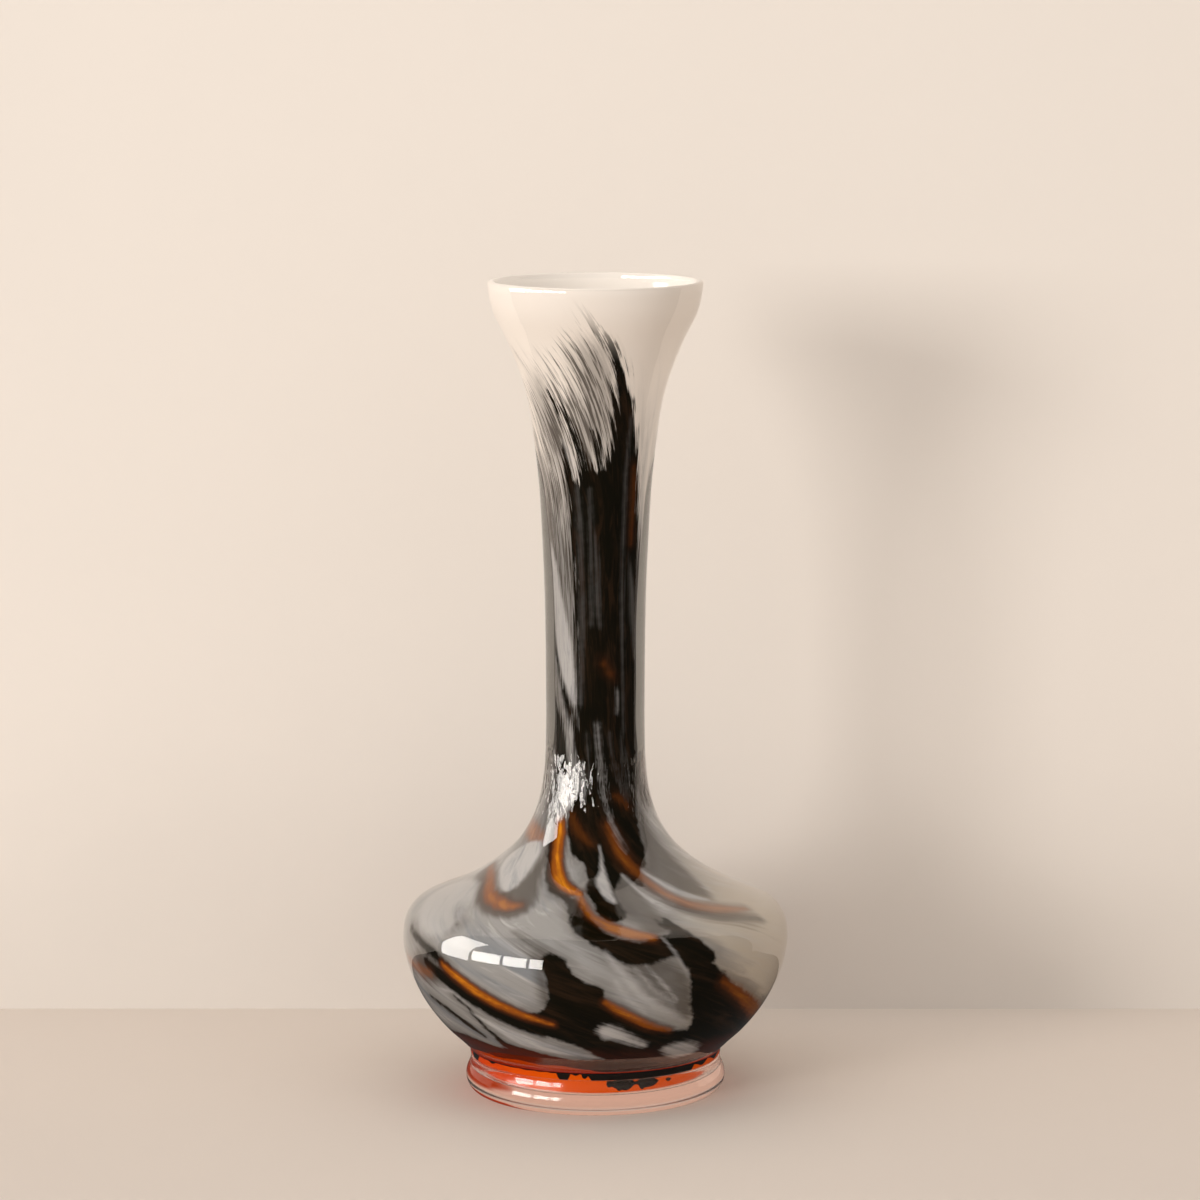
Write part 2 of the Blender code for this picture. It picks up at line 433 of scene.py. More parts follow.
def mesh_volume(mesh: bpy.types.Mesh) -> float:
    """Volume inside a closed mesh, negative if its faces point in."""
    mesh.calc_loop_triangles()
    corners = np.empty(len(mesh.loop_triangles) * 3, np.int32)
    mesh.loop_triangles.foreach_get("vertices", corners)
    places = vertex_places(mesh)[corners].reshape(-1, 3, 3)
    return float(np.einsum("ij,ij->i", places[:, 0], np.cross(places[:, 1], places[:, 2])).sum() / 6.0)


def vertex_places(mesh: bpy.types.Mesh) -> np.ndarray:
    """The mesh's vertices, one row each."""
    places = np.empty(len(mesh.vertices) * 3, np.float32)
    mesh.vertices.foreach_get("co", places)
    return places.reshape(-1, 3).astype(float)


def store(mesh: bpy.types.Mesh, name: str, values: np.ndarray) -> None:
    """Stores one number or one vector for each vertex as a named attribute."""
    kind = "FLOAT" if values.ndim == 1 else "FLOAT_VECTOR"
    attribute = mesh.attributes.new(name, kind, "POINT")
    attribute.data.foreach_set("value" if kind == "FLOAT" else "vector", values.astype(np.float32).ravel())


# ---------------------------------------------------------------- swirls of colour


class Glass(Enum):
    """The coloured glasses that the swirls are drawn in, in the order they lie over the opal; WHITE also
    draws a few streaks of painted highlight.
    """

    SMOKE = "smoke"
    BLACK = "black"
    AMBER = "amber"
    WHITE = "white"


Points = tuple[tuple[float, ...], ...]


def eased(points: np.ndarray, closed: bool, steps: int = 3) -> np.ndarray:
    """Rows of numbers with smooth bends put between them, round again to the first if closed."""
    if len(points) < 3:
        return points
    if closed:
        padded = np.vstack([points[-1], points, points[0], points[1]])
    else:
        padded = np.vstack([2 * points[0] - points[1], points, 2 * points[-1] - points[-2]])
    rows = []
    for a, b, c, d in zip(padded, padded[1:], padded[2:], padded[3:]):
        for t in np.arange(steps) / steps:
            rows.append(0.5 * (2 * b + (c - a) * t + (2 * a - 5 * b + 4 * c - d) * t ** 2
                               + (3 * b - a - 3 * c + d) * t ** 3))
    if not closed:
        rows.append(points[-1])
    return np.array(rows)


@dataclass(frozen=True)
class Mark:
    """One run of coloured glass on the colour layer.

    Args:
        glass: what it is made of.
        points: (azimuth, reach, half width) along a streak, or (azimuth, reach) round the edge of a patch.
        strength: how strong its colour is, 0 to 1.
        soft: how many times softer than usual its edge is.
    """

    glass: Glass
    points: Points
    strength: float = 1.0
    soft: float = 1.0

    @property
    def patch(self) -> bool:
        """Whether this is a patch and not a streak."""
        return len(self.points[0]) == 2

    def moved(self, azimuth: float, reach: float) -> "Mark":
        """The same mark laid elsewhere: turned round the vase and moved down its wall."""
        return replace(self, points=tuple((p[0] + azimuth, p[1] + reach, *p[2:]) for p in self.points))


def streaks(glass: Glass, *paths: Points, strength: float = 1.0, soft: float = 1.0) -> list[Mark]:
    """Several marks of one glass, streaks or patches, with one strength and softness."""
    return [Mark(glass, path, strength, soft) for path in paths]


def front_marks() -> list[Mark]:
    """The marks on the side of the vase taken as its front."""
    black, amber, white, smoke = Glass.BLACK, Glass.AMBER, Glass.WHITE, Glass.SMOKE
    return [
        # the dark mass that starts below the lip, fills the neck and spreads over the shoulder
        *streaks(black,
                 ((8, 17), (20, 32), (32, 41), (42, 46), (52, 58), (64, 66), (76, 80), (86, 94), (96, 104),
                  (108, 112), (120, 130), (122, 150), (112, 170), (98, 180), (86, 186), (76, 190), (69, 193),
                  (60, 198), (52, 205), (48, 212), (42, 219), (37, 223), (31, 224), (28, 233), (23, 230),
                  (18, 225), (14, 230), (10, 234), (11, 241), (13, 246), (11, 250), (6, 251), (2, 247),
                  (-1, 240), (-5, 234), (-5, 227), (-8, 220), (-15, 218), (-21, 215), (-27, 210), (-33, 204),
                  (-36, 199), (-42, 190), (-44, 176), (-40, 165), (-37, 130), (-38, 100), (-42, 84),
                  (-46, 70), (-42, 64), (-34, 70), (-28, 76), (-20, 68), (-12, 70), (-2, 72), (8, 70),
                  (16, 66), (20, 54), (18, 42))),
        *streaks(black,
                 ((-14, 1, 0.2), (-4, 9, 0.5), (6, 17, 0.8), (16, 27, 1.1), (24, 36, 1.3)),
                 ((-48, 40, 0.2), (-42, 46, 1.2), (-33, 54, 1.7), (-26, 60, 1.5), (-20, 66, 1.5),
                  (-14, 74, 1.5)), ((-2, 56, 0.2), (4, 62, 0.6), (8, 72, 1.0)),
                 ((-124, 120, 1.8), (-100, 136, 1.9), (-80, 148, 1.8), (-60, 158, 1.6), (-44, 165, 1.6)),
                 ((-62, 254, 0.1), (-58, 258, 0.3), (-52, 262, 0.2))),
        *streaks(black,
                 ((-130, 150), (-100, 157), (-80, 163), (-62, 170), (-50, 178), (-46, 184), (-56, 187),
                  (-59, 194), (-64, 200), (-74, 199), (-80, 192), (-86, 185), (-95, 178), (-130, 172)),
                 strength=0.92),
        # round the long amber streak, and the dark tongue at its end
        *streaks(black,
                 ((-52, 202, 0.4), (-46, 206, 1.4), (-40, 213, 1.9), (-34, 221, 1.9), (-28, 229, 1.5),
                  (-21, 235, 1.2), (-14, 238, 1.2), (-9, 243, 1.7)),
                 ((-13, 238), (-11, 248), (-8, 256), (-3, 262), (2, 266), (8, 270), (14, 271), (20, 270),
                  (25, 269), (28, 273), (33, 274), (39, 271), (35, 265), (31, 259), (28, 251), (26, 254),
                  (26, 260), (20, 261), (16, 263), (10, 262), (4, 258), (0, 252), (-4, 244), (-8, 239))),
        # lower middle and lower right
        *streaks(black,
                 ((-16, 268), (-10, 268), (-7, 273), (-3, 277), (2, 279), (3, 284), (9, 289), (17, 294),
                  (26, 298), (34, 299), (36, 304), (24, 303), (14, 301), (6, 296), (2, 295), (2, 300),
                  (8, 306), (14, 312), (4, 314), (-4, 306), (-14, 301), (-24, 297), (-26, 291), (-18, 289),
                  (-15, 285), (-14, 278)),
                 ((-62, 277, 1.4), (-52, 281, 2.6), (-44, 285, 3.0), (-36, 289, 3.2), (-28, 293, 3.4),
                  (-18, 297, 3.4)),
                 ((-50, 287, 0.4), (-45, 291, 0.6), (-42, 297, 0.8), (-38, 303, 0.9), (-35, 308, 1.6),
                  (-26, 312, 3.0)), ((-76, 269, 0.8), (-66, 271, 1.4), (-58, 273, 1.6), (-49, 277, 1.2)),
                 ((-66, 291, 0.3), (-58, 294, 0.9), (-50, 299, 0.9), (-44, 304, 0.4))),
        *streaks(black,
                 ((24, 252), (28, 261), (31, 266), (35, 270), (40, 275), (46, 281), (54, 287), (64, 293),
                  (76, 300), (97, 312), (100, 335), (50, 335), (20, 335), (0, 335), (0, 314), (2, 303),
                  (10, 300), (22, 299), (32, 299), (34, 294), (31, 287), (30, 280), (29, 273), (27, 264)),
                 soft=1.3),
        # thin dark glass
        *streaks(smoke,
                 ((-54, 200), (-48, 205), (-48, 214), (-46, 226), (-47, 236), (-52, 240), (-60, 239),
                  (-72, 235), (-92, 231), (-92, 239), (-76, 241), (-66, 245), (-58, 249), (-50, 252),
                  (-40, 253), (-32, 251), (-29, 243), (-32, 235), (-37, 227), (-37, 220), (-32, 218),
                  (-40, 208)), strength=0.85),
        *streaks(smoke,
                 ((36, 224), (42, 220), (47, 213), (54, 205), (62, 199), (68, 196), (67, 204), (68, 214),
                  (68, 222), (68, 230), (64, 240), (60, 246), (54, 243), (48, 238), (42, 231)),
                 ((10, 231), (16, 228), (20, 230), (24, 237), (27, 246), (26, 257), (21, 260), (16, 254),
                  (12, 246)), ((12, 229), (18, 228), (25, 236), (27, 247), (24, 257), (18, 254), (13, 243)),
                 ((28, 230, 1.0), (34, 240, 1.8), (40, 247, 2.6), (48, 255, 3.0), (58, 260, 3.0),
                  (66, 263, 1.8)),
                 ((-28, 260, 0.4), (-21, 264, 1.4), (-17, 267, 2.0), (-14, 270, 2.0), (-11, 273, 1.0)),
                 ((-18, 271, 0.6), (-16, 277, 1.1), (-15, 285, 0.8)),
                 ((12, 302), (22, 303), (30, 303), (40, 306), (46, 314), (30, 318), (16, 312)),
                 ((70, 190), (90, 184), (120, 180), (122, 196), (92, 200), (78, 199)),
                 ((11, 270), (20, 269), (26, 273), (31, 283), (31, 293), (24, 288), (17, 281), (13, 275)),
                 ((-28, 260, 0.5), (-22, 264, 1.4), (-16, 267, 1.2)),
                 ((-68, 274), (-52, 274), (-50, 280), (-56, 284), (-66, 283)), strength=0.72, soft=1.4),
        *streaks(smoke,
                 ((-82, 184), (-58, 184), (-55, 202), (-62, 208), (-78, 205)),
                 ((-92, 218, 0.8), (-76, 220, 1.3), (-62, 218, 0.8)),
                 ((-100, 70, 0.5), (-86, 78, 1.6), (-70, 84, 1.9), (-60, 90, 0.6)),
                 ((-108, 84, 0.8), (-92, 96, 2.2), (-76, 106, 2.2), (-62, 114, 1.0)),
                 ((-44, 72, 0.5), (-46, 90, 1.4), (-44, 110, 1.8), (-38, 128, 1.6), (-34, 150, 1.0)),
                 ((-104, 128, 0.8), (-98, 140, 1.2), (-86, 150, 1.2), (-70, 160, 1.0)),
                 ((-12, 24), (6, 22), (16, 34), (18, 52), (12, 66), (-6, 68), (-20, 62), (-16, 44)),
                 ((-60, 36), (-46, 44), (-36, 62), (-44, 72), (-60, 66), (-72, 50)), strength=0.5, soft=3.0),
        # amber, from the strongest to what shows only faintly
        *streaks(amber,
                 ((-45, 202, 0.8), (-40, 206, 1.5), (-36, 212, 1.6), (-31, 219, 1.7), (-26, 225, 2.0),
                  (-20, 230, 2.1), (-14, 233, 1.7), (-9, 235, 1.4)),
                 ((-53, 276, 0.6), (-46, 279.5, 1.5), (-39, 283.5, 1.7), (-31, 287.5, 1.5), (-23, 291, 1.2),
                  (-14, 294, 0.6))),
        *streaks(amber, ((3, 284, 0.8), (8, 288, 1.4), (13, 291.5, 1.4), (18, 295, 1.3), (26, 298, 0.6)),
                 strength=0.72),
        *streaks(amber,
                 ((-9, 235, 1.2), (-6, 240, 1.2), (-2, 247, 1.5), (2, 251, 2.0), (7, 255.5, 2.8),
                  (12, 258.5, 3.0), (19, 261, 1.8)), strength=0.55),
        *streaks(amber,
                 ((28, 225, 1.3), (33, 231, 1.6), (38, 238, 2.0), (44, 245, 2.4), (52, 250, 2.8),
                  (60, 254, 2.2), (68, 257, 1.0)), strength=0.42, soft=1.8),
        *streaks(amber,
                 ((-90, 233, 1.0), (-75, 235, 1.6), (-65, 239, 2.0), (-56, 243, 2.4), (-48, 245, 2.8),
                  (-41, 246, 2.8), (-36, 245, 1.6)), strength=0.6, soft=1.7),
        *streaks(amber,
                 ((14, 204, 0.6), (18, 210, 1.4), (22, 217, 1.8), (28, 225, 1.8)),
                 ((-98, 210, 3.0), (-82, 211, 3.4), (-70, 212, 3.2), (-62, 212, 2.4), (-58, 212, 1.0)),
                 ((42, 280, 0.8), (48, 284, 1.6), (56, 290, 2.2), (64, 295, 2.8), (76, 301, 3.2)),
                 ((-80, 280, 1.4), (-68, 281, 2.0), (-60, 281, 1.0)), strength=0.42, soft=1.8),
        *streaks(amber,
                 ((-31, 200, 0.6), (-22, 205, 1.2), (-12, 209, 1.2), (-3, 212, 0.6)),
                 ((12, 142, 0.5), (22, 146, 0.8), (36, 149, 0.6)),
                 ((30, 193, 1.0), (38, 195, 1.4), (44, 198, 0.8)),
                 ((56, 70, 0.4), (64, 80, 0.8), (66, 100, 0.5)), strength=0.18, soft=1.5),
        # white laid over the dark glass, and a few streaks of painted highlight at the neck's base
        *streaks(white,
                 ((4, 212), (6, 220), (8, 227), (9, 233), (10, 240), (6, 239), (2, 233), (0, 227), (3, 224)),
                 ((-44, 293, 0.3), (-34, 299, 1.8), (-27, 303, 3.2), (-18, 306.5, 2.6), (-8, 309.5, 1.5),
                  (3, 313, 0.6)),
                 ((-56, 188), (-48, 185), (-38, 187), (-31, 192), (-33, 198), (-39, 199), (-44, 204),
                  (-52, 201), (-57, 195)),
                 ((-54, 238), (-65, 234), (-76, 230), (-83, 224), (-74, 216), (-57, 213), (-50, 217),
                  (-48, 223), (-47, 231), (-48, 238)),
                 ((-99, 100), (-102, 113), (-98, 128), (-89, 139), (-67, 150), (-49, 157), (-38, 161),
                  (-36, 153), (-42, 140), (-55, 128), (-70, 117), (-81, 106)),
                 ((18, 226, 0.2), (23, 233, 0.7), (28, 241, 1.0)),
                 ((33, 225, 0.3), (40, 232, 1.4), (48, 240, 1.8), (57, 246, 0.8)), strength=0.85),
        *streaks(white,
                 ((-40, 60, 0.3), (-34, 66, 0.9), (-28, 72, 0.4)),
                 ((15, 271, 0.3), (20, 277, 0.6), (26, 285, 0.4)),
                 ((22, 262, 0.3), (25, 268, 0.7), (29, 276, 0.4)),
                 ((-57, 286, 0.3), (-50, 286, 0.8), (-44, 290, 0.4)),
                 ((41, 152, 0.15), (42, 158, 0.4), (41, 164, 0.15)),
                 # painted highlight: these three short white streaks at the neck's base stand in for the
                 # crackly glint mirrored there, not for white glass
                 ((-36, 178, 0.5), (-30, 184, 0.9), (-24, 192, 0.6)),
                 ((-46, 178, 0.4), (-40, 184, 0.7), (-34, 190, 0.6)),
                 ((-22, 182, 0.3), (-18, 190, 0.5), (-16, 196, 0.2)), strength=0.6),
        *streaks(white,
                 ((1, 294.5), (6, 294), (13, 299.5), (19, 304), (17, 306), (9, 302.5), (2, 299)),
                 ((26, 309.5), (27, 306.5), (34, 305), (43, 309), (46, 315), (35, 316.5)),
                 strength=0.8, soft=1.9),
        *streaks(white,
                 ((3, 266, 0.5), (9, 275, 1.1), (16, 284, 1.3), (25, 290, 1.0), (32, 296, 0.3)),
                 ((12, 272, 0.3), (18, 280, 0.6), (25, 286, 0.4)),
                 ((6, 276, 0.4), (10, 283, 0.9), (16, 289, 0.5)), strength=0.6, soft=1.6),
        *streaks(white,
                 ((2, 164, 0.1), (6, 176, 0.25), (9, 184, 0.4), (12, 190, 0.4), (14, 196, 0.2),
                  (18, 203, 0.2), (22, 209, 0.2), (27, 216, 0.1)),
                 ((-101, 141, 0.3), (-85, 150, 0.4), (-71, 159, 0.5), (-54, 168, 0.4), (-38, 180, 0.2)),
                 ((-91, 259), (-97, 253), (-93, 244), (-74, 240), (-60, 250), (-53, 261), (-55, 267),
                  (-69, 268)), strength=0.6, soft=1.8),
        *streaks(white,
                 ((40, 50, 0.15), (44, 70, 0.4), (48, 95, 0.45), (51, 120, 0.5), (54, 150, 0.3),
                  (56, 170, 0.2)),
                 ((62, 104), (70, 108), (88, 119), (102, 134), (96, 145), (84, 139), (72, 125), (65, 112)),
                 ((-27, 76, 0.5), (-24, 100, 0.7), (-24, 130, 0.7), (-28, 160, 0.5)),
                 ((-8, 78, 0.25), (-7, 100, 0.4), (-7, 130, 0.3)),
                 ((0, 96, 0.3), (2, 108, 0.7), (4, 122, 0.8), (9, 131, 0.3)),
                 ((-74, 160, 0.3), (-60, 166, 0.5), (-50, 173, 0.6), (-38, 178, 0.3)),
                 ((26, 170, 0.2), (34, 184, 0.3), (44, 192, 0.5)),
                 ((50, 170, 0.2), (50, 184, 0.3), (46, 194, 0.4)),
                 ((60, 176, 0.2), (56, 188, 0.4), (50, 196, 0.4)),
                 ((-16, 168, 0.2), (-13, 180, 0.3), (-12, 192, 0.2)), strength=0.13, soft=1.3),
    ]


def back_marks(front: Iterable[Mark], seed: int = 7) -> list[Mark]:
    """The front's marks laid again on the other side, each moved a little.

    Args:
        front: the marks to repeat.
        seed: what the moves are drawn from.

    Returns:
        Marks for the back.
    """
    draw = np.random.default_rng(seed)
    return [mark.moved(180.0 + draw.uniform(-5.0, 5.0), draw.uniform(-4.0, 4.0)) for mark in front]


class ColourField:
    """Works out how deep each vertex of the colour layer lies inside the marks."""

    OUTSIDE = -14.0

    def __init__(self, azimuth: np.ndarray, reach: np.ndarray, radius: np.ndarray) -> None:
        """Keeps where the vertices are: degrees, mm down the wall and mm from the axis."""
        self.azimuth = azimuth
        self.reach = reach
        self.per_degree = np.radians(1.0) * np.maximum(radius, 1.0)

    def depth(self, marks: Iterable[Mark]) -> tuple[np.ndarray, np.ndarray]:
        """Distance of each vertex inside the nearest mark's edge, in mm, and that mark's strength."""
        best = np.full(len(self.azimuth), self.OUTSIDE)
        strength = np.zeros(len(self.azimuth))
        for mark in marks:
            rows, found = self._within(mark)
            better = found > best[rows]
            strength[rows[better]] = mark.strength
            best[rows[better]] = found[better]
        return best, strength

    def _within(self, mark: Mark) -> tuple[np.ndarray, np.ndarray]:
        """The vertices near a mark, and how deep inside it they lie."""
        line = eased(np.array(mark.points, float), mark.patch)
        if mark.patch:
            line = np.column_stack([np.vstack([line, line[0]]), np.zeros(len(line) + 1)])
        margin = line[:, 2].max() - self.OUTSIDE
        low, high = line[:, 1].min() - margin, line[:, 1].max() + margin
        rows = np.flatnonzero((self.reach > low) & (self.reach < high))
        middle = (line[:, 0].min() + line[:, 0].max()) / 2
        azimuth = (self.azimuth[rows] - middle + 180.0) % 360.0 - 180.0 + middle
        reach, scale = self.reach[rows], self.per_degree[rows]
        found = np.full(len(rows), -1000.0)
        inside = np.zeros(len(rows), bool)
        for start, end in zip(line, line[1:]):
            across, down = (azimuth - start[0]) * scale, reach - start[1]
            run, fall = (end[0] - start[0]) * scale, end[1] - start[1]
            t = np.clip((across * run + down * fall) / (run * run + fall * fall + 1e-9), 0.0, 1.0)
            width = start[2] + t * (end[2] - start[2])
            found = np.maximum(found, width - np.hypot(across - t * run, down - t * fall))
            if mark.patch and start[1] != end[1]:
                crossed = (start[1] > reach) != (end[1] > reach)
                inside ^= crossed & (azimuth < start[0] + (reach - start[1]) * (end[0] - start[0]) / fall)
        if mark.patch:
            found = np.where(inside, -found, found)
        return rows, found / mark.soft


# ---------------------------------------------------------------- finishes


@dataclass(frozen=True)
class ClearGlass:
    """Clear glass that bends what is seen through it and lets light fall straight through.

    Args:
        name: the material's name.
        tint: what it does to light that goes through.
        roughness: how blurred its gloss is.
        ior: how strongly it bends light.
        rippled: lowest and highest z, in metres, of a stretch whose surface is rippled.
    """

    name: str
    tint: Colour = (1.0, 1.0, 1.0)
    roughness: float = 0.0
    ior: float = 1.5
    rippled: tuple[float, float] | None = None

    def material(self) -> bpy.types.Material:
        """Builds the material."""
        shader = Shader(self.name)
        inputs = {"Base Color": self.tint, "Roughness": self.roughness, "IOR": self.ior,
                  "Transmission Weight": 1.0}
        if self.rippled:
            inputs["Normal"] = self._ripples(shader)
        glass = shader.node("ShaderNodeBsdfPrincipled", None, inputs)
        open_way = shader.node("ShaderNodeBsdfTransparent", None, {"Color": self.tint})
        path = shader.node("ShaderNodeLightPath")
        inner = shader.node("ShaderNodeMixShader", None, {
            0: path.outputs["Is Diffuse Ray"], 1: glass.outputs[0], 2: open_way.outputs[0]})
        outer = shader.node("ShaderNodeMixShader", None, {
            0: path.outputs["Is Shadow Ray"], 1: inner.outputs[0], 2: open_way.outputs[0]})
        return shader.surface(outer.outputs[0])

    def _ripples(self, shader: Shader) -> bpy.types.NodeSocket:
        """Upright tool marks over the rippled stretch, fading out above and below it."""
        low, high = (z / MM for z in self.rippled)
        fade = 8.0
        place = shader.place()
        height = shader.part(place, 2) * (1.0 / MM)
        wave = shader.noise(place, (620.0, 620.0, 190.0), 1.0, 0.5)
        bump = shader.node("ShaderNodeBump", None, {
            "Strength": 1.0, "Distance": 0.7 * MM,
            "Height": (wave - 0.5) * height.step(low - fade, low) * (1.0 - height.step(high, high + fade))})
        return bump.outputs["Normal"]


@dataclass(frozen=True)
class PlainGlass:
    """Solid coloured glass or plaster with one colour, and a little glow for glass that light soaks into.

    Args:
        name: the material's name.
        colour: its colour.
        roughness: how blurred its gloss is.
        gloss: specular level, 0 for a surface sealed inside other glass.
        glow: strength of the light that soaks through it.
        lit: whether other light falls on it.
    """

    name: str
    colour: Colour
    roughness: float = 0.5
    gloss: float = 0.5
    glow: float = 0.0
    lit: bool = True

    def material(self) -> bpy.types.Material:
        """Builds the material."""
        shader = Shader(self.name)
        node = shader.node("ShaderNodeBsdfPrincipled", None, {
            "Base Color": self.colour if self.lit else (0.0, 0.0, 0.0), "Roughness": self.roughness,
            "Specular IOR Level": self.gloss, "Emission Color": self.colour, "Emission Strength": self.glow})
        return shader.surface(node.outputs[0])


@dataclass(frozen=True)
class CoreGlass:
    """Orange glass over an underside painted pinkish white, standing in for light that comes up through the
    foot's clear base.

    Args:
        change: height in metres where the orange ends.
        name: the material's name.
        orange: the colour of its side.
        red: the deeper orange it runs to in places.
        painted_underside_light: the pinkish white painted on its underside, standing in for light from below.
    """

    change: float
    name: str = "orange_glass"
    orange: Colour = (0.58, 0.070, 0.0005)
    red: Colour = (0.50, 0.036, 0.002)
    painted_underside_light: Colour = (0.90, 0.68, 0.57)

    def material(self) -> bpy.types.Material:
        """Builds the material."""
        s = Shader(self.name)
        place = s.place()
        height, across = s.part(place, 2), s.part(place, 0)
        drift = s.noise(place, (60.0, 60.0, 160.0), 3.0, 0.55)
        side = s.mix(self.orange, self.red, (drift * 0.6 - across * 14.0).step(0.55, 0.95))
        edge = (height * 1000.0 + (drift - 0.5) * 0.8).step(self.change * 1000.0 - 0.5, self.change * 1000.0)
        # painted light: the underside turns pinkish white, standing in for light that comes up through the
        # foot's clear base
        under = s.mix(self.painted_underside_light, side, (drift * 0.8 - across * 60.0).step(1.75, 2.0))
        colour = s.mix(under, side, edge)
        # painted glow: the core shines faintly in its own colour, standing in for light that soaks through
        # the orange glass
        node = s.node("ShaderNodeBsdfPrincipled", None, {
            "Base Color": colour, "Roughness": 0.7, "Specular IOR Level": 0.0, "Emission Color": colour,
            "Emission Strength": 0.32})
        return s.surface(node.outputs[0])


@dataclass(frozen=True)
class MarbledGlass:
    """The swirled colours, read from the strokes stored on the colour layer.

    Args:
        name: the material's name.
        cream: opal of the flare.
        painted_shade_beige: painted shade, the darker tone the flare's opal runs to on its right side, away
            from the light.
        grey: opal of the body, dulled by the colour drawn over it.
        painted_shade_side: the body's opal painted in one plain, lighter, brownish tone on its right side,
            away from the light, as the tone of its shade there.
        smoke: thin dark glass.
        black: dark glass.
        umber: brown that the dark glass runs to.
        ember: dark glass near the foot, with orange showing through it.
        orange: the core's glass, where it is seen past the edge of the dark glass.
        brown: where amber meets dark glass.
        amber: amber glass.
        bright: middle of an amber streak.
        white: white glass laid over the rest, and the colour of a few streaks of painted highlight at the
            neck's base.
        blue: bluish shade of white glass over dark.
    """

    name: str = "marbled_glass"
    cream: Colour = (0.87, 0.80, 0.73)
    painted_shade_beige: Colour = (0.68, 0.58, 0.48)
    grey: Colour = (0.29, 0.28, 0.268)
    painted_shade_side: Colour = (0.45, 0.385, 0.31)
    smoke: Colour = (0.060, 0.048, 0.038)
    black: Colour = (0.0045, 0.0036, 0.0014)
    umber: Colour = (0.026, 0.013, 0.006)
    ember: Colour = (0.090, 0.014, 0.005)
    orange: Colour = (0.55, 0.065, 0.0005)
    brown: Colour = (0.060, 0.017, 0.005)
    amber: Colour = (0.27, 0.070, 0.007)
    bright: Colour = (0.62, 0.215, 0.010)
    white: Colour = (0.46, 0.44, 0.425)
    blue: Colour = (0.17, 0.185, 0.205)

    def material(self) -> bpy.types.Material:
        """Builds the material."""
        s = Shader(self.name)
        flow = s.vector_attribute("flow")
        reach = s.attribute("reach")
        body = reach.step(150.0, 205.0)
        fine = s.noise(flow, (18.0, 18.0, 0.05), 5.0, 0.62)
        thread = s.noise(flow, (27.0, 27.0, 0.05), 3.0, 0.65, 0.2, offset=4.0)
        broad = s.noise(flow, (4.0, 4.0, 0.03), 3.0, 0.55, 0.4, offset=9.0)
        cloud = s.noise(flow, (7.0, 7.0, 0.07), 5.0, 0.62, 1.2, offset=21.0)

        place = s.place()
        across = s.part(place, 0) * 1000.0
        # painted shade: right marks the body's right side, away from the light, where the opal is painted in
        # one plain brownish tone of shade and the white, blue and smoke patches fade out
        right = (across + (broad - 0.5) * 40.0).step(18.0, 56.0)
        rough = s.noise(place, (330.0, 330.0, 330.0), 5.0, 0.65)

        # painted shade: the flare's cream darkens towards its right side, away from the light
        shaded = s.mix(self.cream, self.painted_shade_beige, across.step(8.0, 38.0) * 0.45)
        opal = s.mix(shaded, s.mix(self.grey, self.painted_shade_side, right),
                     (reach + (broad - 0.5) * 70.0).step(25.0, 120.0))
        opal = s.mix(opal, self.white, cloud.step(0.50, 0.66) * body * (1.0 - right * 0.8) * 0.75)
        opal = s.mix(opal, self.blue, broad.step(0.52, 0.70) * body * (1.0 - right) * 0.65)
        opal = s.mix(opal, self.smoke, fine.step(0.56, 0.78) * body * (1.0 - right * 0.7) * 0.5)

        veil = s.attribute("veil")
        threads = (thread * 1.2 + broad * 0.35 + veil * 0.22).step(0.90, 1.10) * veil.step(0.0, 0.5)
        colour = s.mix(opal, self.smoke, threads * 0.85)
        smoke = (s.attribute("smoke") + (fine - 0.5) * 5.0).step(-2.4, 1.8) * s.attribute("smoke_strength")
        colour = s.mix(colour, self.smoke, smoke)

        depth = s.attribute("black")
        halo = (depth + (cloud - 0.5) * 16.0).step(-7.0, 0.5) * body
        colour = s.mix(colour, self.smoke, halo * 0.45)
        feather = ((fine - 0.5) * (13.0 - body * 12.0) + (rough - 0.5) * 2.6 * body
                   + (broad - 0.5) * (4.0 - body * 2.0))
        ragged = (thread - 0.5) * 9.0 * (1.0 - reach.step(18.0, 42.0))
        black = (depth + feather + ragged).step(-1.0, 0.7) * s.attribute("black_strength")
        black = black * reach.step(1.0, 30.0)
        dark = s.mix(self.black, self.umber, (cloud * 0.7 + broad * 0.4).step(0.50, 0.75) * 0.8)
        dark = s.mix(dark, self.ember, s.attribute("ember") * (0.45 + cloud))
        colour = s.mix(colour, dark, black)
        colour = s.mix(colour, self.orange, (s.attribute("orange") + (rough - 0.5) * 2.0).step(-0.3, 0.5))

        amber_depth = s.attribute("amber") + (fine - 0.5) * 1.2 + (rough - 0.5) * 1.2
        strength = s.attribute("amber_strength")
        rim = amber_depth.step(-2.6, -0.2) * strength
        colour = s.mix(colour, self.brown, rim * 0.88)
        colour = s.mix(colour, self.amber, amber_depth.step(-0.9, 0.7) * strength)
        core = (amber_depth + (cloud - 0.5) * 5.0 - 0.3).step(0.0, 1.8) * strength * strength
        colour = s.mix(colour, self.bright, core * 0.95)

        white = (s.attribute("white") + (rough - 0.5) * 1.2 + (fine - 0.5) * 2.4).step(-0.9, 1.3)
        white = white * s.attribute("white_strength")
        shade = s.mix(self.white, self.blue, (cloud * 0.7 + broad * 0.4).step(0.50, 0.75) * 0.7)
        colour = s.mix(colour, shade, white)

        # painted glow: the colour layer shines faintly in its own colour, standing in for light that soaks
        # into the glass
        node = s.node("ShaderNodeBsdfPrincipled", None, {
            "Base Color": colour, "Roughness": 0.9, "Specular IOR Level": 0.0, "Emission Color": colour,
            "Emission Strength": 0.05})
        return s.surface(node.outputs[0])


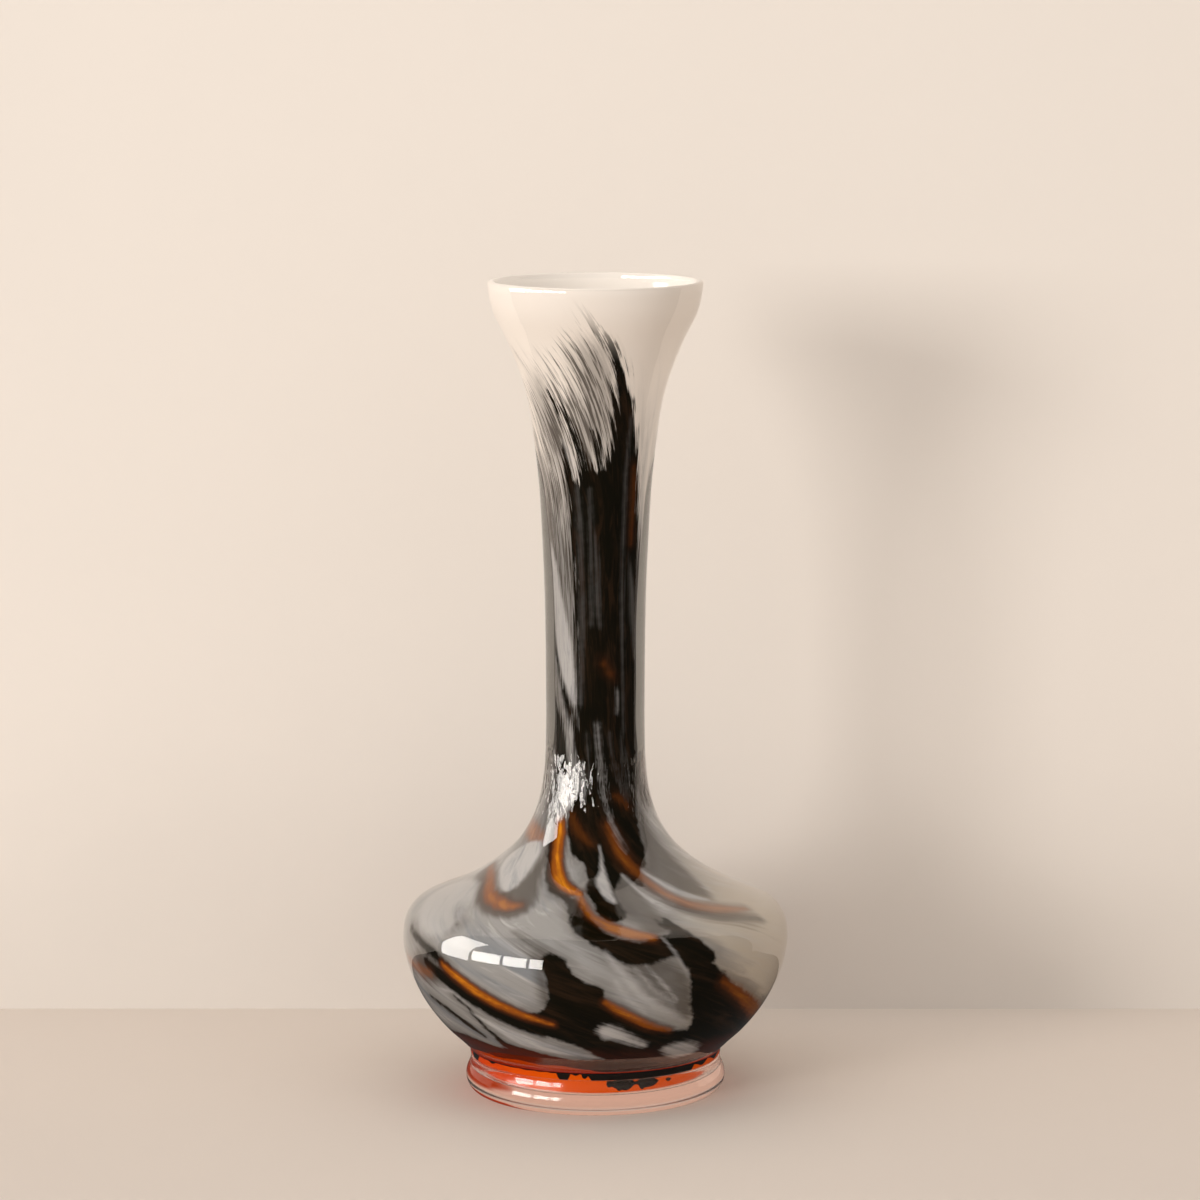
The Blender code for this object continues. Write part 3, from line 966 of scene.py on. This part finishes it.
# ---------------------------------------------------------------- the vase


@dataclass(frozen=True)
class WallSizes:
    """Sizes of the layered wall that the frame doesn't give, in metres.

    Args:
        contact: how far one glass sinks into the next, so that no air is left between them.
        colour_depth: thickness of the colour layer.
        belly_height: below this the rings of the turned walls lie closest together.
        rim_film: how far the lining's bore opens at the lip.
        rim_film_depth: how far below the lip that ends.
        rim_spread_depth: how far below the lip the lining's back stops widening.
        rippled: lowest and highest z of the casing's rippled stretch.
    """

    contact: float = 0.15 * MM
    colour_depth: float = 0.45 * MM
    belly_height: float = 115.0 * MM
    rim_film: float = 0.60 * MM
    rim_film_depth: float = 4.0 * MM
    rim_spread_depth: float = 5.0 * MM
    rippled: tuple[float, float] = (0.108, 0.122)


class Vase:
    """Reads the frame's sections and builds each piece of the vase over its CAD node."""

    AT_LIP = (-0.12, -0.993)

    def __init__(self, sizes: WallSizes = WallSizes()) -> None:
        """Reads the sections that several pieces share."""
        self.sizes = sizes
        self.lathe = Lathe()
        self.pieces: list[bpy.types.Object] = []
        casing = outer_wall("clear_casing")
        walls = [casing, outer_wall("marbled_layer"), outer_wall("opal_lining"),
                 self._bore("opal_lining", casing[0][1])]
        self.casing_wall, self.colour_wall, self.lining_wall, self.bore_wall = (
            wall[:1] + wall[2:] for wall in walls)
        self.rim_height = self.casing_wall[0][1]
        self.rim_outer = self.casing_wall[0][0]
        self.rim_inner = self.bore_wall[0][0]

    def _bore(self, node: str, lip: float) -> Profile:
        """Inside of a cup-shaped CAD node, from beside the lip, at that height, down to the axis."""
        chain = half_section(node)
        top = max(range(len(chain)), key=lambda i: chain[i][1])
        sides = [chain[top::-1], chain[top:]]
        wall = min(sides, key=lambda side: max(p[0] for p in side))
        start = min(range(len(wall)), key=lambda i: (abs(wall[i][1] - lip), wall[i][0]))
        return wall[start:]

    def _keep(self, piece: bpy.types.Object, node: str) -> bpy.types.Object:
        """Puts a piece under the root body in place of a CAD node, which it hides, then keeps the piece and
        logs its size.
        """
        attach(piece, "root")
        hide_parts(node)
        self.pieces.append(piece)
        triangles = sum(len(p.vertices) - 2 for p in piece.data.polygons)
        log.info("%s: %d triangles, radius %.1f mm, top %.1f mm", piece.name, triangles,
                 1000 * max(v.co.x for v in piece.data.vertices),
                 1000 * max(v.co.z for v in piece.data.vertices))
        return piece

    def _wall(self, points: Profile, spacing: float, near: float | None = None) -> Profile:
        """Fine curve down a wall, with rings spacing apart, or near apart on the belly."""
        close = near or spacing
        return smooth(points, self.AT_LIP, LEVEL, lambda z: close if z < self.sizes.belly_height else spacing)

    def _widened(self, points: Profile, extra: float, depth: float) -> Profile:
        """A wall made wider by extra at the rim, less and less down to depth below it."""
        return [(r + extra * max(0.0, 1.0 - (self.rim_height - z) / depth), z) for r, z in points]

    def opal_lining(self) -> None:
        """The milky lining: the bore, the rim and a back that sits behind the colour."""
        sizes = self.sizes
        inner = self._widened(self._wall(self.bore_wall, 4.0 * MM), sizes.rim_film, sizes.rim_film_depth)
        back = self._wall([(self.lining_wall[0][0], self.rim_height)] + self.lining_wall[1:], 4.0 * MM)
        spread = self.colour_wall[0][0] - sizes.contact * 0.5 - back[0][0]
        back = self._widened(back, spread, sizes.rim_spread_depth)
        rim = round_edge(inner[0], back[0])
        glass = PlainGlass("opal_glass", (0.86, 0.80, 0.735), 0.12, 0.5, 0.06)
        piece = self.lathe.turn("opal_lining_glass", inner[::-1] + rim + back, 256, glass.material())
        self._keep(piece, "opal_lining")

    def marbled_layer(self) -> None:
        """The colour layer with its swirls."""
        outside = self._wall(self.colour_wall, 3.6 * MM, 1.3 * MM)
        inside = self._wall(moved_inward(self.colour_wall, self.sizes.colour_depth), 16.0 * MM)
        rim = round_edge(inside[0], outside[0], 4)
        piece = self.lathe.turn("marbled_layer_glass", inside[::-1] + rim + outside, 448,
                                MarbledGlass().material())
        mesh = piece.data
        reach_of = [0.0] * (len(inside) + len(rim)) + [0.0]
        for before, here in zip(outside, outside[1:]):
            reach_of.append(reach_of[-1] + math.dist(before, here))
        ring = np.empty(len(mesh.vertices), np.float32)
        mesh.attributes["ring"].data.foreach_get("value", ring)
        reach = np.array(reach_of)[np.rint(ring).astype(int)] / MM
        places = vertex_places(mesh)
        azimuth = np.degrees(np.arctan2(places[:, 0], -places[:, 1]))
        radius = np.hypot(places[:, 0], places[:, 1]) / MM
        Swirls().lay(mesh, azimuth, reach, radius)
        self._keep(piece, "marbled_layer")

    def clear_casing(self) -> None:
        """The thick clear glass over the colour, closed over the rim."""
        outside = self._wall(self.casing_wall, 2.0 * MM, 1.2 * MM)
        contact = self._wall(moved_inward(self.colour_wall, self.sizes.contact), 4.0 * MM, 2.4 * MM)
        rim = round_edge((self.rim_inner, self.rim_height), outside[0], 16)
        share = min(1.0, (CAD_BOX[1][2] - self.rim_height) / (max(z for _, z in rim) - self.rim_height))
        rim = [(r, self.rim_height + share * (z - self.rim_height)) for r, z in rim]
        dive = [(self.rim_inner + d * MM, self.rim_height - h * MM)
                for d, h in ((-0.05, 1.0), (-0.10, 2.0), (0.25, 4.0), (0.6, 3.6), (0.7, 1.5), (0.75, 0.0))]
        under = round_edge(dive[-1], contact[0], 8)
        profile = (contact[::-1] + under[::-1] + dive[::-1] + [(self.rim_inner, self.rim_height)]
                   + rim + outside)
        glass = ClearGlass("casing_glass", rippled=self.sizes.rippled)
        piece = self.lathe.turn("clear_casing_glass", profile, 256, glass.material())
        self._keep(piece, "clear_casing")


class Swirls:
    """Lays the strokes and the flow of the glass on the colour layer."""

    TWIST = ((0.0, 0.9), (60.0, 0.8), (95.0, 0.15), (165.0, 0.15), (200.0, 1.0), (250.0, 1.1), (265.0, 2.0),
             (320.0, 2.0), (400.0, 0.0))
    UNDERSIDE = ((-180.0, 312.0), (-110.0, 306.0), (-60.0, 307.0), (-30.0, 310.0), (-10.0, 313.0),
                 (5.0, 315.0), (20.0, 315.0), (38.0, 318.0), (60.0, 320.0), (90.0, 314.0), (180.0, 312.0))
    ORANGE = ((-180.0, 322.0), (-100.0, 318.0), (-60.0, 318.5), (-35.0, 319.5), (-15.0, 321.5), (-3.0, 324.0),
              (4.0, 332.0), (52.0, 332.0), (62.0, 324.0), (100.0, 320.0), (180.0, 322.0))
    EMBER = ((-180.0, 0.3), (-100.0, 0.9), (-12.0, 0.9), (4.0, 0.25), (40.0, 0.3), (70.0, 0.6), (110.0, 0.3),
             (180.0, 0.3))
    VEIL_START = ((-180.0, 20.0), (-120.0, 26.0), (-80.0, 18.0), (-50.0, 22.0), (-12.0, 0.0), (0.0, 4.0),
                  (14.0, 18.0), (30.0, 34.0), (44.0, 46.0), (66.0, 66.0), (90.0, 96.0), (110.0, 80.0),
                  (140.0, 40.0), (180.0, 20.0))

    def flow(self, azimuth: np.ndarray, reach: np.ndarray) -> np.ndarray:
        """Coordinates that stay the same along a line of flow, except for the distance down it.

        Args:
            azimuth: degrees from the front.
            reach: mm down the wall.

        Returns:
            One row of three for each vertex.
        """
        steps = np.arange(0.0, 400.0)
        rate = np.interp(steps, [t[0] for t in self.TWIST], [t[1] for t in self.TWIST])
        turned = np.interp(reach, steps, np.cumsum(rate))
        line = np.radians(azimuth - turned)
        return np.column_stack([np.cos(line), np.sin(line), reach])

    def lay(self, mesh: bpy.types.Mesh, azimuth: np.ndarray, reach: np.ndarray, radius: np.ndarray) -> None:
        """Stores on the mesh how deep each vertex lies in each kind of glass, and where the flow takes it."""
        front = front_marks()
        back = back_marks(front)
        field = ColourField(azimuth, reach, radius)
        hidden = 20.0 * np.clip((108.0 - np.abs(azimuth)) / 16.0, 0.0, 1.0)
        for glass in Glass:
            depth, strength = field.depth(mark for mark in front if mark.glass is glass)
            behind, behind_strength = field.depth(mark for mark in back if mark.glass is glass)
            behind = behind - hidden
            if glass is Glass.BLACK:
                start = np.interp(azimuth, *zip(*self.UNDERSIDE))
                underneath = reach - start + 0.8 * np.sin(np.radians(11.0 * azimuth))
                depth = np.maximum(depth, underneath)
                strength[underneath >= depth] = 1.0
            store(mesh, glass.value, np.maximum(depth, behind))
            store(mesh, glass.value + "_strength", np.where(behind > depth, behind_strength, strength))
        store(mesh, "ember", np.clip((reach - 305.0) / 6.0, 0.0, 1.0) * np.interp(azimuth, *zip(*self.EMBER)))
        wave = 0.7 * np.sin(np.radians(17.0 * azimuth))
        store(mesh, "orange", reach - np.interp(azimuth, *zip(*self.ORANGE)) + wave)
        store(mesh, "flow", self.flow(azimuth, reach))
        store(mesh, "reach", reach)
        start = np.interp(azimuth, *zip(*self.VEIL_START))
        veil = np.clip((reach - start) / 35.0, 0.0, 1.0) * np.clip((215.0 - reach) / 50.0, 0.0, 1.0)
        store(mesh, "veil", veil)


@dataclass(frozen=True)
class Drip:
    """One run of black glass down the core: its azimuth and half width in degrees, and length in mm."""

    azimuth: float
    spread: float
    length: float


DRIPS = (Drip(-52, 7, 0.9), Drip(-38, 6, 0.7), Drip(-28, 3, 1.1), Drip(-16, 3.6, 4.4), Drip(-10, 2, 1.6),
         Drip(-5, 2, 3.0), Drip(0, 4, 4.4), Drip(24, 28, 7.4), Drip(7, 3, 7.6), Drip(14, 9, 9.2),
         Drip(12, 3, 9.9), Drip(27, 9, 8.8), Drip(24, 3, 9.6), Drip(39, 8, 6.8), Drip(50, 7, 3.6),
         Drip(62, 7, 2.6), Drip(78, 8, 2.2), Drip(95, 5, 4.6), Drip(112, 8, 2.4), Drip(131, 5, 5.4),
         Drip(148, 7, 3.0), Drip(170, 5, 5.0), Drip(188, 8, 2.0), Drip(207, 5, 4.4),
         Drip(224, 6, 2.6), Drip(243, 5, 5.2), Drip(262, 8, 2.2), Drip(281, 5, 3.8), Drip(298, 6, 1.4))


@dataclass(frozen=True)
class FootSizes:
    """Sizes of the foot's pieces that the frame doesn't give, in metres.

    Args:
        sunk: how much deeper the core's floor lies than its node's.
        swell: how far the core and the skirt rise into the vase above them.
        edge: size of the core's rounded edges.
        skirt_depth: how far the skirt reaches into the core.
        skirt_proud: how far it stands out of the core's side.
        skirt_height: its height before its drips are drawn down.
        lift: how far the foot's underside stays above the floor.
    """

    sunk: float = 1.4 * MM
    swell: float = 4.0 * MM
    edge: float = 0.8 * MM
    skirt_depth: float = 0.6 * MM
    skirt_proud: float = 0.3 * MM
    skirt_height: float = 1.0 * MM
    lift: float = 0.02 * MM


class Foot:
    """Builds the clear foot with the orange core and black skirt sealed in it."""

    def __init__(self, vase: Vase, sizes: FootSizes = FootSizes()) -> None:
        """Reads the sizes that the foot's pieces share from the frame."""
        self.vase = vase
        self.sizes = sizes
        core_low, core_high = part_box("orange_core")
        self.core_radius = core_high[0]
        self.core_floor = core_low[2] - sizes.sunk
        self.core_top = core_high[2] + sizes.swell
        self.skirt_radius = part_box("black_skirt")[1][0]

    def orange_core(self) -> None:
        """The orange cup, solid down to its floor."""
        section = half_section("orange_core")
        wall = max(p[0] for p in section)
        low, high, edge = self.core_floor, self.core_top, self.sizes.edge
        profile = [(0.0, high), (wall - 3 * edge, high), (wall - 1.2 * edge, high - 0.4 * edge),
                   (wall - 0.3 * edge, high - 1.4 * edge), (wall, high - 3 * edge), (wall, low + edge),
                   (wall - 0.3 * edge, low + 0.3 * edge), (wall - edge, low), (0.0, low)]
        glass = CoreGlass(low + edge)
        piece = self.vase.lathe.turn("orange_core_glass", profile, 192, glass.material())
        self.vase._keep(piece, "orange_core")

    def black_skirt(self) -> None:
        """The black band round the core's top, its lower edge drawn down into drips."""
        inner, outer = self.core_radius - self.sizes.skirt_depth, self.core_radius + self.sizes.skirt_proud
        top, low = self.core_top, self.core_top - self.sizes.skirt_height
        profile = [(inner, low), (inner, top), (outer, top), (outer, top - 0.3 * MM), (outer, low + 0.3 * MM),
                   (outer - 0.15 * MM, low + 0.08 * MM), (inner, low)]
        glass = PlainGlass("black_glass", (0.012, 0.009, 0.007), 0.6, 0.0)
        piece = self.vase.lathe.turn("black_skirt_glass", profile, 720, glass.material())
        places = vertex_places(piece.data)
        azimuth = np.degrees(np.arctan2(places[:, 0], -places[:, 1]))
        length = np.full(len(azimuth), 0.3)
        for drip in DRIPS:
            away = ((azimuth - drip.azimuth + 180.0) % 360.0 - 180.0) / drip.spread
            length = np.maximum(length, drip.length * np.sqrt(np.clip(1.0 - away * away, 0.0, 1.0)))
        length += (0.30 * np.sin(np.radians(azimuth * 29.0))
                   + 0.22 * np.sin(np.radians(azimuth * 47.0 + 40.0)) + 0.3)
        share = (top - places[:, 2]) / (top - low)
        places[:, 2] = top - share * (top - low) * length
        piece.data.vertices.foreach_set("co", places.astype(np.float32).ravel())
        piece.data.update()
        self.vase._keep(piece, "black_skirt")

    def clear_foot(self) -> None:
        """The clear disc that the vase stands on, its recess filled by the core."""
        contact = self.vase.sizes.contact
        section = half_section("clear_foot")
        outer = max(range(len(section)), key=lambda i: section[i][0])
        sides = [section[outer::-1], section[outer:]]
        lower = min(sides, key=lambda side: min(p[1] for p in side[:6]))
        upper = sides[1] if lower is sides[0] else sides[0]
        rise = [p for p in upper if p[0] > self.skirt_radius]
        top = rise[-1][1]
        recess = self.core_radius - contact
        floor = self.core_floor + contact
        fine = lambda z: 0.8 * MM
        side = smooth(rise, (0.0, 1.0), directions(rise, (0.0, 1.0), (-0.4, 1.0))[-1], fine)
        under = [(r, max(z, self.sizes.lift)) for r, z in smooth(lower, DOWN, LEVEL, fine)]
        profile = [(0.0, floor), (recess, floor), (recess, top)] + side[::-1] + under[1:]
        glass = ClearGlass("foot_glass", (1.0, 0.975, 0.96), 0.11)
        piece = self.vase.lathe.turn("clear_foot_glass", profile, 256, glass.material())
        self.vase._keep(piece, "clear_foot")


# ---------------------------------------------------------------- studio


class Use(Enum):
    """What a pane is there for."""

    LIGHT = "light"
    GLINT = "glint"
    BAR = "bar"


@dataclass(frozen=True)
class Pane:
    """One bright pane that faces the vase, by the angles it fills as seen from the vase.

    Args:
        use: LIGHT falls on everything but isn't mirrored; BAR is only mirrored in the glass, and GLINT only
            in the glass above the foot.
        left: azimuth of its left edge in degrees, 0 in front and negative to the left.
        right: azimuth of its right edge.
        low: elevation of its lower edge in degrees.
        high: elevation of its upper edge.
        radiance: how bright it is.
        distance: how far away it is, in metres.
        colour: its colour.
    """

    use: Use
    left: float
    right: float
    low: float
    high: float
    radiance: float
    distance: float
    colour: Colour = (1.0, 0.96, 0.91)


@dataclass(frozen=True)
class Screen:
    """A low glowing screen round the vase, seen only through its glass, between two heights in metres."""

    name: str
    low: float
    high: float
    colour: Colour


@dataclass(frozen=True)
class StageSizes:
    """Sizes of the stage and the camera's place, in metres and degrees.

    Args:
        wall: how far the wall stands behind the vase's axis.
        wall_half: half the wall's width.
        wall_height: the wall's height.
        near: half width of the floor that shows through the glass.
        span: half width of the whole floor.
        screen_half: half width of the screens.
        lens: the camera's focal length in mm.
        camera: the camera's place.
        tilt: the camera's turn from looking straight down.
    """

    wall: float = 0.12
    wall_half: float = 0.6
    wall_height: float = 0.9
    near: float = 0.2
    span: float = 3.0
    screen_half: float = 0.3
    lens: float = 137.95
    camera: tuple[float, float, float] = (0.0017, -1.6678, 0.4327)
    tilt: float = 81.473


class Studio:
    """The floor, the wall behind, the light and the camera."""

    PANES = (
        Pane(Use.LIGHT, -54, -39, 3, 19, 16.5, 5.0),
        Pane(Use.LIGHT, -92, -28, 8, 52, 0.62, 4.0),
        Pane(Use.LIGHT, 20, 80, 10, 50, 0.20, 4.0),
        Pane(Use.LIGHT, -40, 40, 58, 89, 0.68, 3.0),
        Pane(Use.GLINT, -104, -80, -6.5, 38, 11.0, 4.0),
        Pane(Use.BAR, -78, -58, -5, 13, 17.0, 4.0),
        Pane(Use.BAR, -56, -41, -5, 13, 17.0, 4.0),
        Pane(Use.BAR, -39, -31, -5, 13, 17.0, 4.0),
    )
    LIGHT_AIM = Vector((0.0, 0.0, 0.1))
    GLINT_AIM = Vector((-0.030, -0.060, 0.061))
    SCREENS = (Screen("low_glow", 0.0, 0.03, (0.60, 0.44, 0.36)),
               Screen("dusk", 0.03, 0.25, (0.19, 0.165, 0.135)))

    def __init__(self, pieces: Iterable[bpy.types.Object], sizes: StageSizes = StageSizes()) -> None:
        """Keeps the stage's sizes, and gathers the vase's pieces above its foot."""
        self.sizes = sizes
        self.above_foot = bpy.data.collections.new("above_foot")
        for piece in pieces:
            if piece.name != "clear_foot_glass":
                self.above_foot.objects.link(piece)

    def _plane(self, name: str, corners: list[tuple[float, float, float]], faces: list[tuple[int, ...]],
               material: bpy.types.Material) -> bpy.types.Object:
        """Makes one flat-sided piece of the stage."""
        mesh = bpy.data.meshes.new(name)
        mesh.from_pydata(corners, [], faces)
        mesh.materials.append(material)
        plane = bpy.data.objects.new(name, mesh)
        bpy.context.scene.collection.objects.link(plane)
        return plane

    def _plaster(self, name: str, colour: Colour, one_sided: bool) -> bpy.types.Material:
        """Matt plaster; one_sided leaves its back clear, so that it never hides the vase, and paints shade on
        its lower part, darker towards the floor.
        """
        s = Shader(name)
        place = s.place()
        height = s.part(place, 2)
        # painted shade: a one-sided wall is painted darker towards its foot, where it meets the floor
        rise = height.step(-0.02, 0.16) * (0.5 if one_sided else 0.0)
        tone = s.noise(place, (3.0, 3.0, 3.0), 4.0, 0.55) * 0.5 + rise
        darker = tuple(c * 0.88 for c in colour)
        node = s.node("ShaderNodeBsdfPrincipled", None, {
            "Base Color": s.mix(darker, colour, tone.step(0.25, 0.75)), "Roughness": 0.9,
            "Specular IOR Level": 0.0})
        if not one_sided:
            return s.surface(node.outputs[0])
        clear = s.node("ShaderNodeBsdfTransparent")
        side = s.node("ShaderNodeNewGeometry")
        mixed = s.node("ShaderNodeMixShader", None, {
            0: side.outputs["Backfacing"], 1: node.outputs[0], 2: clear.outputs[0]})
        return s.surface(mixed.outputs[0])

    def build(self) -> None:
        """Builds the stage, the lights and the camera."""
        y, half, tall = self.sizes.wall, self.sizes.wall_half, self.sizes.wall_height
        near, span, side = self.sizes.near, self.sizes.span, self.sizes.screen_half
        plaster = self._plaster("floor_plaster", (0.83, 0.74, 0.665), False)
        inside = [(-near, -near, 0), (near, -near, 0), (near, near, 0), (-near, near, 0)]
        outside = [(-span, -span, 0), (span, -span, 0), (span, span, 0), (-span, span, 0)]
        under = self._plane("floor", inside, [(0, 1, 2, 3)], plaster)
        beyond = self._plane("floor_beyond", inside + outside,
                             [(4, 5, 1, 0), (5, 6, 2, 1), (6, 7, 3, 2), (7, 4, 0, 3)], plaster)
        wall = self._plane("wall", [(-half, y, 0), (half, y, 0), (half, y, tall), (-half, y, tall)],
                           [(0, 1, 2, 3)], self._plaster("wall_plaster", (0.87, 0.81, 0.75), True))
        for kind in self.SCREENS:
            corners = [(x, d, z) for x, d in ((-side, -side), (-side, y), (side, y), (side, -side))
                       for z in (kind.low, kind.high)]
            screen = self._plane(kind.name, corners, [(0, 1, 3, 2), (2, 3, 5, 4), (4, 5, 7, 6)],
                                 PlainGlass(kind.name, kind.colour, 0.9, 0.0, 1.0, False).material())
            screen.visible_camera = screen.visible_diffuse = False
            screen.visible_glossy = screen.visible_shadow = False
        under.visible_glossy = beyond.visible_glossy = False
        wall.visible_transmission = beyond.visible_transmission = False
        bpy.context.scene.world = self._room((1.0, 0.965, 0.93), 0.55)
        for number, pane in enumerate(self.PANES):
            self._light(f"pane_{number}", pane)
        bpy.context.scene.view_settings.view_transform = "Standard"
        self._camera()

    def _room(self, colour: Colour, bright: float) -> bpy.types.World:
        """The soft light of the room, which is dim where the glass mirrors it or bends it round its edges."""
        world = bpy.data.worlds.new("soft_room")
        world.use_nodes = True
        tree = world.node_tree
        tree.nodes.clear()
        path, out = tree.nodes.new("ShaderNodeLightPath"), tree.nodes.new("ShaderNodeOutputWorld")
        last = None
        for ray, tone, strength in ((None, colour, 0.45), ("Is Glossy Ray", colour, 0.05),
                                    ("Is Diffuse Ray", colour, bright), ("Is Camera Ray", colour, bright)):
            side = tree.nodes.new("ShaderNodeBackground")
            side.inputs["Color"].default_value = (*tone, 1.0)
            side.inputs["Strength"].default_value = strength
            if last is not None:
                mixed = tree.nodes.new("ShaderNodeMixShader")
                tree.links.new(path.outputs[ray], mixed.inputs[0])
                tree.links.new(last.outputs[0], mixed.inputs[1])
                tree.links.new(side.outputs[0], mixed.inputs[2])
                side = mixed
            last = side
        tree.links.new(last.outputs[0], out.inputs["Surface"])
        return world

    def _light(self, name: str, pane: Pane) -> None:
        """Makes one pane as an area light."""
        azimuth, height = math.radians((pane.left + pane.right) / 2), math.radians((pane.low + pane.high) / 2)
        out = Vector((math.sin(azimuth) * math.cos(height), -math.cos(azimuth) * math.cos(height),
                      math.sin(height)))
        light = bpy.data.lights.new(name, "AREA")
        light.shape = "RECTANGLE"
        light.size = 2 * pane.distance * math.tan(math.radians((pane.right - pane.left) / 2))
        light.size_y = 2 * pane.distance * math.tan(math.radians((pane.high - pane.low) / 2))
        light.energy = pane.radiance * math.pi * light.size * light.size_y
        light.color = pane.colour
        lamp = bpy.data.objects.new(name, light)
        glint = pane.use is not Use.LIGHT
        lamp.location = (self.GLINT_AIM if glint else self.LIGHT_AIM) + out * pane.distance
        lamp.rotation_euler = (-out).to_track_quat("-Z", "Y").to_euler()
        lamp.visible_camera = lamp.visible_transmission = False
        lamp.visible_glossy = glint
        lamp.visible_diffuse = not glint
        bpy.context.scene.collection.objects.link(lamp)
        if pane.use is Use.GLINT:
            lamp.light_linking.receiver_collection = self.above_foot

    def _camera(self) -> None:
        """Places the camera a little above the vase's lip, tilted down to its middle."""
        data = bpy.data.cameras.new("camera")
        data.sensor_width, data.lens = 36.0, self.sizes.lens
        camera = bpy.data.objects.new("camera", data)
        camera.location = self.sizes.camera
        camera.rotation_euler = Euler((math.radians(self.sizes.tilt), 0.0, 0.0))
        bpy.context.scene.collection.objects.link(camera)
        bpy.context.scene.camera = camera


def main() -> None:
    """Builds the vase and its studio, and notes the size it came out at."""
    vase = Vase()
    vase.opal_lining()
    vase.marbled_layer()
    vase.clear_casing()
    foot = Foot(vase)
    foot.orange_core()
    foot.black_skirt()
    foot.clear_foot()
    Studio(vase.pieces).build()


if __name__ == "__main__":
    main()
